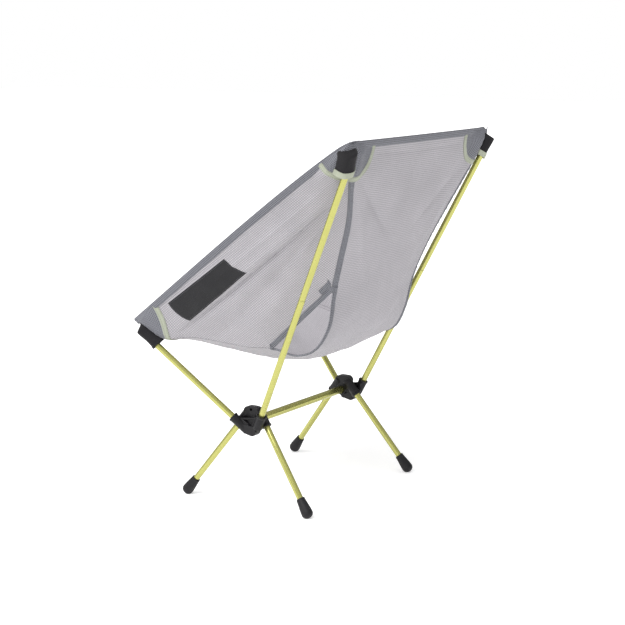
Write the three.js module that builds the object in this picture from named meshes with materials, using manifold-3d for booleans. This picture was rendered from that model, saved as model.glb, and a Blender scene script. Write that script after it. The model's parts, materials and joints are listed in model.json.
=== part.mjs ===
// Ultralight backpacking chair: a knock-down frame of shock-corded tubes and a ripstop sling seat.
// Millimetres. +X is the sitter's left, -Y is the front, +Z is up, and the feet stand on z = 0.
// Everything is drawn for the sitter's left, and the right half is its mirror image.
import * as THREE from 'three';
import { mergeVertices } from 'three/addons/utils/BufferGeometryUtils.js';
import { ConvexGeometry } from 'three/addons/geometries/ConvexGeometry.js';
import Module from 'manifold-3d';

const wasm = await Module();
wasm.setup();

const vec = (x, y, z) => new THREE.Vector3(x, y, z);
const RIGHT = vec(1, 0, 0);
const UP = vec(0, 0, 1);

// ---- Driving dimensions -------------------------------------------------------------------------

const POLE_RADIUS = 5.5;
const POLE_WALL = 0.8;
const CROSSBAR_RADIUS = 7;
const CROSSBAR_WALL = 1;
const CROSSBAR_HEIGHT = 146;
const CROSSBAR_HALF_LENGTH = 147.5;
const CORD_RADIUS = 1.5;
const GAP = 0.3;
const LAYER_GAP = 1;

// Where each tube leaves its hub socket, and a point further out on its axis.
const FRONT_LEG = { mouth: vec(148.3, -24.1, 140), far: vec(167.4, -124, 10), depth: 30 };
const REAR_LEG = { mouth: vec(145, 32.3, 140), far: vec(166.9, 129.9, 10), depth: 30 };
const FRONT_POLE = { mouth: vec(166.4, -25.3, 155.6), far: vec(225.9, -179.8, 302.2), depth: 34 };
const BACK_POLE = { mouth: vec(164.3, 35.4, 164.8), far: vec(227.8, 257.4, 623.6), depth: 26 };

const FERRULE_LENGTH = 70;
const CAP = { plug: 10, head: 5, rim: 2.5, overhang: 0.7, dome: 2 };
const FOOT_BALL_RADIUS = 9;
const FOOT_FLAT_DEPTH = 0.5;
// From the ball up to the collar's top, as [radius, distance above the ball's centre].
const FOOT_TAPER = [[8.9, 5], [8.3, 13], [7.5, 21], [7.25, 27.5]];
const FOOT_BORE_BOTTOM = 4;
// How far a leg's cord ends above the middle of its foot, and a pole's cord below its tip.
const LEG_CORD_END = 30;
const POLE_CORD_END = 2;

const BARREL_RADIUS = 8.4;
const BARREL_CHAMFER = 1.5;
const LIP_RADIUS = 9.2;
const LIP_LENGTH = 3;
const SOCKET_FLOOR = 3;
const CROSSBAR_BARREL_RADIUS = 9.8;
const HUB_INNER_FACE = 138.5;
const HUB_MIDDLE_FACE = 153;
// The hub's plates, each with its two X faces and the discs [y, z, radius] that round its corners.
// The first two join the leg barrels, and the last three join the pole barrels to them.
const HUB_PLATES = [
  { x: [HUB_INNER_FACE, HUB_MIDDLE_FACE], discs: [[-3, 164.5, 9], [11, 164.5, 9], [4, 152, 10]] },
  { x: [140.5, HUB_MIDDLE_FACE], discs: [[-15, 148, 5], [24, 148, 5], [4, 156, 8]] },
  { x: [157, 163], discs: [[-14, 150, 3], [26, 156, 4], [11, 134, 8.5]] },
  { x: [150, 166], discs: [[2, 136, 8.5], [14, 134, 9]] },
  { x: [148, 163], discs: [[8, 150, 7], [20, 146, 7]] },
];
const APEX_HOLE = { start: vec(143, 4, 168.5), length: 20 };
const CORD_PASSAGE_RADIUS = 2.4;
const CORD_BEND_HANDLE = 9;
const PLATE_SIDES = 16;

// The seat's two guide lines, from the top edge down the back, round the bend and on to the front
// edge. SEAM joins the centre panel to the left wing; MIDDLE is the centre panel's lowest line.
const SEAM = [
  vec(221, 254, 644), vec(198, 236, 576), vec(166, 211, 509), vec(146, 183, 445), vec(133, 159, 380),
  vec(129, 146, 322), vec(134, 122, 283), vec(141, 90, 272), vec(150, 52, 281), vec(163, 5, 281),
  vec(187, -74, 291), vec(208, -130, 294), vec(217, -187, 310),
];
const MIDDLE = [
  vec(0, 250, 643), vec(0, 236, 576), vec(0, 219, 509), vec(0, 199, 445), vec(0, 176, 380),
  vec(0, 153, 322), vec(0, 120, 281), vec(0, 88, 257), vec(0, 50, 241), vec(0, 5, 236),
  vec(0, -74, 245), vec(0, -130, 262), vec(0, -184, 287),
];
const STATIONS = SEAM.length - 1;
const TOP_CORNER = vec(226, 255, 647);
const FRONT_CORNER = vec(225, -197, 316);
// How far the wing's free edge bows out at most, and the power that shifts this towards the back.
const EDGE_BOW = vec(18, 0, 3);
const EDGE_BOW_SKEW = 0.6;
const WING_BULGE = 3;
const HIP_OPENING = { from: 3.85, to: 8.05 };
// The angle at each corner of the seat between the seam and the wing's edge.
const CORNER_ANGLE = { back: 0.75, front: 0.86 };

const CLOTH = 1.2;
const TAPE = 0.8;
const BINDING_WIDTH = 12;
const BINDING_THICKNESS = 2.4;
const TAPE_WIDTH = 10;
const HIP_BINDING = { width: 9, setBack: 2, endGap: 0.15 };
const HIP_TAB = { from: 3.86, to: 4.45, near: 11.6, far: 18 };
// How many stations short of the seat's two ends these pieces of each wing stop.
const WING_ENDS = 0.45;
const WING_BINDING_ENDS = { back: 1.55, front: 1.5 };
const SEAM_TAPE_START = 1;
const PATCH_RADIUS = { back: 70, front: 65 };
const PATCH_START = 7;
const TRIM_WIDTH = 8;
const POCKET_BORE = 7.3;
const BACK_POCKET = { width: 22, depth: 16, below: 31, above: 6, mouth: 8 };
const FRONT_POCKET = { tipRadius: 8, mouthRadius: 10.5, below: 38, above: 3, mouth: 5 };
// The label's corners as [station, distance in from the wing's free edge], upper edge first.
const LABEL_CORNERS = [[10.12, 19], [6.86, 24.5], [9.86, 67], [6.44, 67.5]];

// Moves the origin from the middle of the crossbar to the middle of the footprint box.
const ORIGIN_Y = 38;

// ---- Materials ----------------------------------------------------------------------------------

const MATERIALS = {
  anodised: { color: 0xd3d85a, roughness: 0.35, metalness: 0.85 },
  bare_alloy: { color: 0xb9bcc0, roughness: 0.4, metalness: 0.9 },
  nylon: { color: 0x2a2a2d, roughness: 0.5, metalness: 0 },
  rubber: { color: 0x242427, roughness: 0.8, metalness: 0 },
  ripstop: { color: 0xbcb8bb, roughness: 0.85, metalness: 0 },
  dark_ripstop: { color: 0x77787f, roughness: 0.85, metalness: 0 },
  pale_tape: { color: 0xc3c8b4, roughness: 0.85, metalness: 0 },
  black_cloth: { color: 0x222125, roughness: 0.8, metalness: 0 },
  label: { color: 0x3c3d42, roughness: 0.7, metalness: 0 },
  cord: { color: 0x2c2c30, roughness: 0.9, metalness: 0 },
};

function piece(name, finish, geometry) {
  const mesh = new THREE.Mesh(geometry, new THREE.MeshStandardMaterial(MATERIALS[finish]));
  mesh.name = name;
  return mesh;
}

// ---- Solids -------------------------------------------------------------------------------------

function toSolid(geometry) {
  const bare = new THREE.BufferGeometry();
  bare.setAttribute('position', geometry.getAttribute('position'));
  bare.setIndex(geometry.getIndex());
  const merged = mergeVertices(bare, 1e-4);
  return new wasm.Manifold(new wasm.Mesh({
    numProp: 3,
    vertProperties: merged.getAttribute('position').array,
    triVerts: new Uint32Array(merged.getIndex().array),
  }));
}

function toGeometry(solid) {
  const mesh = solid.getMesh();
  const geometry = new THREE.BufferGeometry();
  geometry.setAttribute('position', new THREE.BufferAttribute(mesh.vertProperties, mesh.numProp));
  geometry.setIndex(new THREE.BufferAttribute(mesh.triVerts, 1));
  return geometry;
}

const join = (geometries) => geometries.map(toSolid).reduce((whole, next) => whole.add(next));
const cut = (solid, geometries) =>
  geometries.map(toSolid).reduce((whole, next) => whole.subtract(next), solid);

// A turned solid standing on the origin along +Z. The profile is a list of [radius, height].
function turned(profile, sides) {
  const points = profile.map(([radius, height]) => new THREE.Vector2(radius, height));
  return new THREE.LatheGeometry(points, sides).rotateX(Math.PI / 2);
}

const rod = (radius, from, to, sides = 20) =>
  turned([[0, from], [radius, from], [radius, to], [0, to]], sides);

const tube = (outer, inner, length) =>
  turned([[inner, 0], [outer, 0], [outer, length], [inner, length], [inner, 0]], 16);

// Turns a solid's faces round where its volume would count as negative.
function facingOut(geometry) {
  const position = geometry.getAttribute('position');
  const faces = geometry.getIndex().array;
  const [a, b, c] = [vec(0, 0, 0), vec(0, 0, 0), vec(0, 0, 0)];
  let volume = 0;
  for (let i = 0; i < faces.length; i += 3) {
    a.fromBufferAttribute(position, faces[i]);
    b.fromBufferAttribute(position, faces[i + 1]);
    c.fromBufferAttribute(position, faces[i + 2]);
    volume += a.dot(b.cross(c));
  }
  if (volume < 0)
    for (let i = 0; i < faces.length; i += 3)
      [faces[i + 1], faces[i + 2]] = [faces[i + 2], faces[i + 1]];
  return geometry;
}

// A closed geometry from its corners' positions and its faces, turned to face outwards.
function solidOf(positions, faces) {
  const geometry = new THREE.BufferGeometry();
  geometry.setAttribute('position', new THREE.Float32BufferAttribute(positions, 3));
  geometry.setIndex(faces);
  return facingOut(geometry);
}

// Stands an object or a geometry that was drawn along +Z at a point, along a direction.
function stand(target, point, direction) {
  const turn = new THREE.Quaternion().setFromUnitVectors(UP, direction);
  if (target.isObject3D) {
    target.quaternion.copy(turn);
    target.position.copy(point);
    return target;
  }
  return target.applyQuaternion(turn).translate(point.x, point.y, point.z);
}

const directionOf = (line) => line.far.clone().sub(line.mouth).normalize();
const onLine = (line, distance) => line.mouth.clone().addScaledVector(directionOf(line), distance);
const lengthOf = (line) => line.far.distanceTo(line.mouth);

// The distance from a line's mouth at which it comes down to a height.
const distanceAtHeight = (line, height) => (height - line.mouth.z) / directionOf(line).z;

// ---- Hub ----------------------------------------------------------------------------------------

const TUBES = [FRONT_LEG, REAR_LEG, FRONT_POLE, BACK_POLE];

// A barrel round a tube's inner end, with a lip at its mouth.
function barrel(line) {
  const low = -line.depth - SOCKET_FLOOR;
  const profile = [
    [0, low], [BARREL_RADIUS - BARREL_CHAMFER, low], [BARREL_RADIUS, low + BARREL_CHAMFER],
    [BARREL_RADIUS, -LIP_LENGTH - 1], [LIP_RADIUS, -LIP_LENGTH], [LIP_RADIUS, 0], [0, 0],
  ];
  return stand(turned(profile, 16), line.mouth, directionOf(line));
}

const socket = (line) =>
  stand(rod(POLE_RADIUS + GAP, -line.depth, 1, 16), line.mouth, directionOf(line));

// A plate with rounded corners, parallel to the YZ plane: the hull of its discs.
function plate({ x: faces, discs }) {
  const points = [];
  for (const [y, z, radius] of discs)
    for (let i = 0; i < PLATE_SIDES; i += 1) {
      const angle = (i / PLATE_SIDES) * 2 * Math.PI;
      for (const x of faces)
        points.push(vec(x, y + radius * Math.cos(angle), z + radius * Math.sin(angle)));
    }
  return new ConvexGeometry(points);
}

// The cord's bend from the end of one tube to the end of the next, inside the hub.
function cordBend(from, to) {
  const bend = new THREE.CubicBezierCurve3(
    onLine(from, -from.depth),
    onLine(from, -from.depth - CORD_BEND_HANDLE),
    onLine(to, -to.depth - CORD_BEND_HANDLE),
    onLine(to, -to.depth),
  );
  return bend.getPoints(10);
}

// A round solid along a line of points that nowhere runs parallel to X.
function pipe(points, radius, sides) {
  const positions = [];
  points.forEach((point, i) => {
    const [before, after] = [points[Math.max(i - 1, 0)], points[Math.min(i + 1, points.length - 1)]];
    const along = after.clone().sub(before).normalize();
    const across = RIGHT.clone().addScaledVector(along, -along.x).normalize();
    const up = along.clone().cross(across);
    for (let side = 0; side < sides; side += 1) {
      const angle = (side / sides) * 2 * Math.PI;
      const corner = point.clone()
        .addScaledVector(across, radius * Math.cos(angle))
        .addScaledVector(up, radius * Math.sin(angle));
      positions.push(corner.x, corner.y, corner.z);
    }
  });
  const faces = [];
  const last = (points.length - 1) * sides;
  for (let ring = 0; ring < last; ring += sides)
    for (let side = 0; side < sides; side += 1) {
      const next = (side + 1) % sides;
      const above = ring + sides;
      faces.push(ring + side, ring + next, above + next, ring + side, above + next, above + side);
    }
  for (let side = 1; side < sides - 1; side += 1)
    faces.push(0, side + 1, side, last, last + side, last + side + 1);
  return solidOf(positions, faces);
}

// The hole that a bend of cord runs through, from inside one socket to inside the next.
const cordPassage = (from, to) =>
  pipe([onLine(from, 1 - from.depth), ...cordBend(from, to), onLine(to, 1 - to.depth)],
    CORD_PASSAGE_RADIUS, 10);

function hub() {
  const crossbarBarrel = rod(CROSSBAR_BARREL_RADIUS, HUB_INNER_FACE, HUB_MIDDLE_FACE, 24);
  const body = join([
    ...TUBES.map(barrel),
    ...HUB_PLATES.map(plate),
    crossbarBarrel.rotateY(Math.PI / 2).translate(0, 0, CROSSBAR_HEIGHT),
  ]);
  const crossbarSocket = rod(CROSSBAR_RADIUS + GAP, HUB_INNER_FACE - 1, CROSSBAR_HALF_LENGTH + GAP, 24);
  const { start, length } = APEX_HOLE;
  return toGeometry(cut(body, [
    ...TUBES.map(socket),
    crossbarSocket.rotateY(Math.PI / 2).translate(0, 0, CROSSBAR_HEIGHT),
    cordPassage(FRONT_LEG, REAR_LEG),
    cordPassage(FRONT_POLE, BACK_POLE),
    stand(rod(CORD_PASSAGE_RADIUS, 0, length, 12), start, RIGHT),
  ]));
}

// ---- Frame pieces -------------------------------------------------------------------------------

// Where the centre of a foot's ball lies on its leg, from the hub's mouth.
const footDistance = (leg) => distanceAtHeight(leg, FOOT_BALL_RADIUS - FOOT_FLAT_DEPTH);

function legTube(leg) {
  const length = footDistance(leg) - FOOT_BORE_BOTTOM - GAP + leg.depth - GAP;
  const geometry = tube(POLE_RADIUS, POLE_RADIUS - POLE_WALL, length);
  return { geometry, start: onLine(leg, -leg.depth + GAP) };
}

// A moulded rubber foot: a ball at the ground that tapers to a collar round the leg, with a small
// flat where it stands.
function foot(leg) {
  const ball = [];
  for (let i = 0; i <= 6; i += 1) {
    const angle = (i / 6) * (Math.PI / 2);
    ball.push([FOOT_BALL_RADIUS * Math.sin(angle), -FOOT_BALL_RADIUS * Math.cos(angle)]);
  }
  const bore = POLE_RADIUS + GAP;
  const [, collarTop] = FOOT_TAPER.at(-1);
  const profile = [
    ...ball, ...FOOT_TAPER, [bore, collarTop], [bore, FOOT_BORE_BOTTOM], [0, FOOT_BORE_BOTTOM],
  ];
  const shape = stand(turned(profile, 20), onLine(leg, footDistance(leg)), directionOf(leg).negate());
  const ground = new THREE.BoxGeometry(60, 60, 20).translate(leg.far.x, leg.far.y, -10);
  return toGeometry(cut(toSolid(shape), [ground]));
}

// A plug in a seat pole's end, bored for the cord, with a rounded head that fills the pocket.
function tipCap() {
  const bore = CORD_RADIUS + 2 * GAP;
  const plug = POLE_RADIUS - POLE_WALL - GAP;
  const head = POLE_RADIUS + CAP.overhang;
  return turned([
    [bore, -CAP.plug], [plug, -CAP.plug], [plug, GAP], [head, GAP], [head, CAP.rim],
    [head - CAP.dome, CAP.head], [bore, CAP.head], [bore, -CAP.plug],
  ], 16);
}

// A cord that runs from one tube, through the hub, to the end of the other.
const cord = (from, fromReach, to, toReach) =>
  pipe([onLine(from, fromReach), ...cordBend(from, to), onLine(to, toReach)], CORD_RADIUS, 8);

// The poles stop short of their tips by the length of the cap's head.
const poleLength = (pole) => lengthOf(pole) + pole.depth - CAP.head - GAP;

function frameHalf(side) {
  const half = new THREE.Group();
  half.add(piece(`hub_${side}`, 'nylon', hub()));

  for (const [place, leg] of [['front', FRONT_LEG], ['rear', REAR_LEG]]) {
    const { geometry, start } = legTube(leg);
    half.add(stand(piece(`leg_${place}_${side}`, 'anodised', geometry), start, directionOf(leg)));
    half.add(piece(`foot_${place}_${side}`, 'rubber', foot(leg)));
  }

  const inner = POLE_RADIUS - POLE_WALL;
  const frontTube = tube(POLE_RADIUS, inner, poleLength(FRONT_POLE));
  const frontStart = onLine(FRONT_POLE, -FRONT_POLE.depth + GAP);
  half.add(stand(piece(`front_pole_${side}`, 'anodised', frontTube), frontStart, directionOf(FRONT_POLE)));

  const section = poleLength(BACK_POLE) / 2;
  const sectionTube = tube(POLE_RADIUS, inner, section - GAP / 2);
  const lowerStart = onLine(BACK_POLE, -BACK_POLE.depth + GAP);
  const upperStart = onLine(BACK_POLE, -BACK_POLE.depth + GAP + section + GAP / 2);
  const ferruleStart = onLine(BACK_POLE, -BACK_POLE.depth + section - FERRULE_LENGTH / 2);
  const back = directionOf(BACK_POLE);
  half.add(stand(piece(`back_pole_lower_${side}`, 'anodised', sectionTube), lowerStart, back));
  half.add(stand(piece(`back_pole_upper_${side}`, 'anodised', sectionTube.clone()), upperStart, back));
  const ferrule = tube(inner - GAP, inner - GAP - POLE_WALL, FERRULE_LENGTH);
  half.add(stand(piece(`pole_ferrule_${side}`, 'bare_alloy', ferrule), ferruleStart, back));

  for (const [place, pole] of [['front', FRONT_POLE], ['back', BACK_POLE]]) {
    const root = onLine(pole, lengthOf(pole) - CAP.head);
    half.add(stand(piece(`tip_cap_${place}_${side}`, 'nylon', tipCap()), root, directionOf(pole)));
  }

  const legReach = (leg) => footDistance(leg) - LEG_CORD_END;
  const legCord = cord(FRONT_LEG, legReach(FRONT_LEG), REAR_LEG, legReach(REAR_LEG));
  half.add(piece(`leg_cord_${side}`, 'cord', legCord));
  const poleReach = (pole) => lengthOf(pole) - POLE_CORD_END;
  const poleCord = cord(FRONT_POLE, poleReach(FRONT_POLE), BACK_POLE, poleReach(BACK_POLE));
  half.add(piece(`pole_cord_${side}`, 'cord', poleCord));
  return half;
}

function crossbar() {
  const length = 2 * CROSSBAR_HALF_LENGTH;
  const geometry = tube(CROSSBAR_RADIUS, CROSSBAR_RADIUS - CROSSBAR_WALL, length);
  const bar = piece('crossbar', 'anodised', geometry);
  return stand(bar, vec(-CROSSBAR_HALF_LENGTH, 0, CROSSBAR_HEIGHT), RIGHT);
}

// ---- Seat surface -------------------------------------------------------------------------------
// A place on the seat is a station, 0 at the top edge to 12 at the front edge, and how far across it
// lies: 0 on the centre line, 1 on the left seam, 2 on the left wing's free edge, and -1 on the right
// seam.

const seamCurve = new THREE.CatmullRomCurve3(SEAM);
const middleCurve = new THREE.CatmullRomCurve3(MIDDLE);
const seamAt = (station) => seamCurve.getPoint(THREE.MathUtils.clamp(station / STATIONS, 0, 1));
const middleAt = (station) => middleCurve.getPoint(THREE.MathUtils.clamp(station / STATIONS, 0, 1));

function edgeAt(station) {
  const along = station / STATIONS;
  const bow = Math.sin(Math.PI * THREE.MathUtils.clamp(along, 0, 1) ** EDGE_BOW_SKEW);
  return TOP_CORNER.clone().lerp(FRONT_CORNER, along).addScaledVector(EDGE_BOW, bow);
}

// The wing's inner edge follows the seam, and cuts straight across the hip opening.
function wingRootAt(station) {
  const { from, to } = HIP_OPENING;
  if (station <= from || station >= to) return seamAt(station);
  return seamAt(from).lerp(seamAt(to), (station - from) / (to - from));
}

function seatPoint(station, across) {
  if (Math.abs(across) <= 1) {
    const seam = seamAt(station);
    const point = middleAt(station).lerp(seam, across * across);
    point.x = seam.x * across;
    return point;
  }
  const reach = Math.abs(across) - 1;
  const point = wingRootAt(station).lerp(edgeAt(station), reach);
  point.x += WING_BULGE * Math.sin(Math.PI * reach);
  point.x *= Math.sign(across);
  return point;
}

// The direction out of the seat, towards the back, the floor or the side.
function seatNormal(station, across) {
  const step = 0.02;
  const here = seatPoint(station, across);
  const along = seatPoint(station + step, across).sub(seatPoint(station - step, across));
  const right = seatPoint(station, across + step).sub(here).normalize();
  const left = here.sub(seatPoint(station, across - step)).normalize();
  return right.add(left).cross(along).normalize();
}

// A layer of cloth. place(a, b) turns two numbers from 0 to 1 into [station, across], and the layer
// lies an offset outside the seat surface.
function layer(place, rows, columns, offset, thickness) {
  const positions = [];
  for (const height of [offset + thickness / 2, offset - thickness / 2])
    for (let i = 0; i <= rows; i += 1)
      for (let j = 0; j <= columns; j += 1) {
        const [station, across] = place(i / rows, j / columns);
        const point = seatPoint(station, across)
          .addScaledVector(seatNormal(station, across), height);
        positions.push(point.x, point.y, point.z);
      }
  const width = columns + 1;
  const under = (rows + 1) * width;
  const faces = [];
  const quad = (a, b, c, d) => faces.push(a, b, c, a, c, d);
  for (let i = 0; i < rows; i += 1)
    for (let j = 0; j < columns; j += 1) {
      const corner = i * width + j;
      quad(corner, corner + 1, corner + width + 1, corner + width);
      quad(under + corner, under + corner + width, under + corner + width + 1, under + corner + 1);
    }
  const rim = [];
  for (let j = 0; j < columns; j += 1) rim.push(j);
  for (let i = 0; i < rows; i += 1) rim.push(i * width + columns);
  for (let j = columns; j > 0; j -= 1) rim.push(rows * width + j);
  for (let i = rows; i > 0; i -= 1) rim.push(i * width);
  rim.forEach((corner, i) => {
    const next = rim[(i + 1) % rim.length];
    quad(corner, under + corner, under + next, next);
  });
  return solidOf(positions, faces);
}

const between = (from, to, share) => from + (to - from) * share;

// The share of the wing's width, or of the back's height, that a width in millimetres takes up.
const wingShare = (station, width) => width / wingRootAt(station).distanceTo(edgeAt(station));
const TOP_STEP = seamAt(0).distanceTo(seamAt(1));
const FRONT_STEP = seamAt(STATIONS).distanceTo(seamAt(STATIONS - 1));
const EDGE_STEP = TOP_CORNER.distanceTo(FRONT_CORNER) / STATIONS;

// ---- Seat pieces --------------------------------------------------------------------------------

const HEM = BINDING_WIDTH + 2 * GAP;
const TOP_HEM_END = HEM / TOP_STEP;
const FRONT_HEM_START = STATIONS - HEM / FRONT_STEP;
const OUTSIDE = CLOTH / 2 + LAYER_GAP + TAPE / 2;
// How far each panel's cut edge lies from the seam.
const CENTER_SEAM_GAP = 0.6;
const WING_SEAM_GAP = 1.6;

function centerPanel() {
  const place = (a, b) => {
    const station = between(TOP_HEM_END, FRONT_HEM_START, a);
    const limit = 1 - CENTER_SEAM_GAP / seamAt(station).x;
    return [station, between(-limit, limit, b)];
  };
  return layer(place, 26, 10, 0, CLOTH);
}

function wing() {
  const place = (a, b) => {
    const station = between(WING_ENDS, STATIONS - WING_ENDS, a);
    const from = 1 + wingShare(station, WING_SEAM_GAP);
    const to = 2 - wingShare(station, HEM);
    return [station, between(from, Math.max(to, from + 0.02), b)];
  };
  return layer(place, 26, 5, 0, CLOTH);
}

const wingBinding = () =>
  layer((a, b) => {
    const station = between(WING_BINDING_ENDS.back, STATIONS - WING_BINDING_ENDS.front, a);
    return [station, between(2 - wingShare(station, BINDING_WIDTH), 2, b)];
  }, 24, 1, 0, BINDING_THICKNESS);

const crossBinding = (from, to, limit) =>
  layer((a, b) => [between(from, to, a), between(-limit, limit, b)], 1, 12, 0, BINDING_THICKNESS);

const seamTape = () =>
  layer((a, b) => {
    const station = between(SEAM_TAPE_START, HIP_OPENING.from, a);
    const inner = 1 - TAPE_WIDTH / 2 / seamAt(station).x;
    return [station, between(inner, 1 + wingShare(station, TAPE_WIDTH / 2), b)];
  }, 16, 2, OUTSIDE, TAPE);

const hipBinding = () =>
  layer((a, b) => {
    const { width, setBack, endGap } = HIP_BINDING;
    const station = between(HIP_OPENING.from + endGap, HIP_OPENING.to - endGap, a);
    return [station, 1 + wingShare(station, between(setBack, setBack + width, b))];
  }, 10, 1, OUTSIDE, TAPE);

const hipTab = () =>
  layer((a, b) => {
    const station = between(HIP_TAB.from, HIP_TAB.to, a);
    return [station, 1 + wingShare(HIP_TAB.from, between(HIP_TAB.near, HIP_TAB.far, b))];
  }, 2, 1, OUTSIDE, TAPE);

// The label lies along the wing's free edge, on a patch between its four corners.
function label() {
  const [upperFront, upperBack, lowerFront, lowerBack] = LABEL_CORNERS;
  const place = (a, b) => {
    const [station, inset] = [0, 1].map((i) =>
      between(between(upperFront[i], upperBack[i], a), between(lowerFront[i], lowerBack[i], a), b));
    return [station, 2 - wingShare(station, inset)];
  };
  return layer(place, 12, 3, OUTSIDE, TAPE);
}

// A place at a distance from a corner of the seat, at a turn from 0 on the cross edge, past 1 on the
// seam, to 2 on the wing's edge.
function roundCorner(corner, distance, turn) {
  const back = corner === 'back';
  const seamStep = back ? TOP_STEP : FRONT_STEP;
  const origin = back ? 0 : STATIONS;
  const sign = back ? 1 : -1;
  const halfWidth = seamAt(origin).x;
  if (turn <= 1) {
    const angle = turn * (Math.PI / 2);
    const station = origin + sign * (distance * Math.sin(angle)) / seamStep;
    return [station, 1 - (distance * Math.cos(angle)) / halfWidth];
  }
  const spread = CORNER_ANGLE[corner];
  const angle = (turn - 1) * spread;
  const alongSeam = (distance * Math.sin(spread - angle)) / Math.sin(spread) / seamStep;
  const alongEdge = (distance * Math.sin(angle)) / Math.sin(spread) / EDGE_STEP;
  const steps = alongSeam + alongEdge;
  return [origin + sign * steps, 1 + alongEdge / steps];
}

const trimStart = (corner) => PATCH_RADIUS[corner] - TRIM_WIDTH;

const cornerRing = (corner, from, to, rings) =>
  layer((a, b) => roundCorner(corner, between(from, to, a), 2 * b), rings, 10, OUTSIDE, TAPE);

const cornerPatch = (corner) => cornerRing(corner, PATCH_START, trimStart(corner) - GAP, 4);
const cornerTrim = (corner) => cornerRing(corner, trimStart(corner), PATCH_RADIUS[corner], 1);

// How far out from the centre line the bound edge between two corner patches reaches.
const edgeLimit = (corner, station) => 1 - (PATCH_RADIUS[corner] + 1) / seamAt(station).x;

// A flat black sleeve with rounded sides round a back pole's tip, closed above it.
function backPocketSection(hole) {
  const { width, depth } = BACK_POCKET;
  const corner = depth / 2;
  const section = new THREE.Shape();
  section.absarc(width / 2 - corner, 0, corner, -Math.PI / 2, Math.PI / 2);
  section.absarc(corner - width / 2, 0, corner, Math.PI / 2, 1.5 * Math.PI);
  section.closePath();
  if (hole) section.holes.push(new THREE.Path().absarc(0, 0, POCKET_BORE, 0, 2 * Math.PI, true));
  return section;
}

function extruded(section, from, to) {
  const options = { depth: to - from, bevelEnabled: false, curveSegments: 6 };
  return new THREE.ExtrudeGeometry(section, options).translate(0, 0, from);
}

function backPocket() {
  const { below, above } = BACK_POCKET;
  const body = toSolid(extruded(backPocketSection(false), -below, above));
  return toGeometry(cut(body, [rod(POCKET_BORE, -below - 1, 1)]));
}

const backPocketMouth = () =>
  extruded(backPocketSection(true), -BACK_POCKET.below - BACK_POCKET.mouth, -BACK_POCKET.below - GAP);

// A front pocket flares from the pole's tip to its mouth.
function frontPocket() {
  const { tipRadius, mouthRadius, below, above } = FRONT_POCKET;
  return turned([
    [POCKET_BORE, -below], [mouthRadius, -below], [tipRadius, 0], [tipRadius - 2, above], [0, above],
    [0, 1], [POCKET_BORE, 1], [POCKET_BORE, -below],
  ], 16);
}

function frontPocketMouth() {
  const { mouthRadius, below, mouth } = FRONT_POCKET;
  const [low, high] = [-below - mouth, -below - GAP];
  const inner = POCKET_BORE + 1;
  return turned([[inner, low], [mouthRadius, low], [mouthRadius, high], [inner, high], [inner, low]], 16);
}

function seatHalf(side) {
  const half = new THREE.Group();
  half.add(piece(`side_panel_${side}`, 'ripstop', wing()));
  half.add(piece(`side_binding_${side}`, 'dark_ripstop', wingBinding()));
  half.add(piece(`seam_tape_${side}`, 'dark_ripstop', seamTape()));
  half.add(piece(`hip_binding_${side}`, 'dark_ripstop', hipBinding()));
  half.add(piece(`hip_tab_${side}`, 'dark_ripstop', hipTab()));
  const pockets = {
    back: [BACK_POLE, backPocket(), backPocketMouth(), 'pale_tape'],
    front: [FRONT_POLE, frontPocket(), frontPocketMouth(), 'black_cloth'],
  };
  for (const [corner, [pole, pocket, mouth, mouthCloth]] of Object.entries(pockets)) {
    half.add(piece(`corner_patch_${corner}_${side}`, 'dark_ripstop', cornerPatch(corner)));
    half.add(piece(`corner_trim_${corner}_${side}`, 'pale_tape', cornerTrim(corner)));
    const [tip, direction] = [onLine(pole, lengthOf(pole)), directionOf(pole)];
    half.add(stand(piece(`pocket_${corner}_${side}`, 'black_cloth', pocket), tip, direction));
    half.add(stand(piece(`pocket_mouth_${corner}_${side}`, mouthCloth, mouth), tip, direction));
  }
  return half;
}

// ---- Assembly -----------------------------------------------------------------------------------

const group = new THREE.Group();
group.add(crossbar());
group.add(piece('seat_center_panel', 'ripstop', centerPanel()));
const topBinding = crossBinding(0, BINDING_WIDTH / TOP_STEP, edgeLimit('back', 0));
group.add(piece('top_binding', 'dark_ripstop', topBinding));
const frontHem = STATIONS - BINDING_WIDTH / FRONT_STEP;
const frontBinding = crossBinding(frontHem, STATIONS, edgeLimit('front', STATIONS));
group.add(piece('front_binding', 'dark_ripstop', frontBinding));
group.add(piece('side_label', 'label', label()));
for (const side of ['left', 'right']) {
  const half = new THREE.Group();
  half.add(frameHalf(side), seatHalf(side));
  if (side === 'right') half.scale.x = -1;
  group.add(half);
}
group.position.y = -ORIGIN_Y;

const chair = new THREE.Group();
chair.add(group);

export default chair;
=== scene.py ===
"""The looks of an ultralight backpacking chair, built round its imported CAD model.

Everything is in metres in the model's frame: +X is the sitter's left, -Y is the front, +Z is up.
The seat is drawn for both sides from one surface, and the frame pieces follow the CAD tubes.
"""

import json
import math

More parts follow.
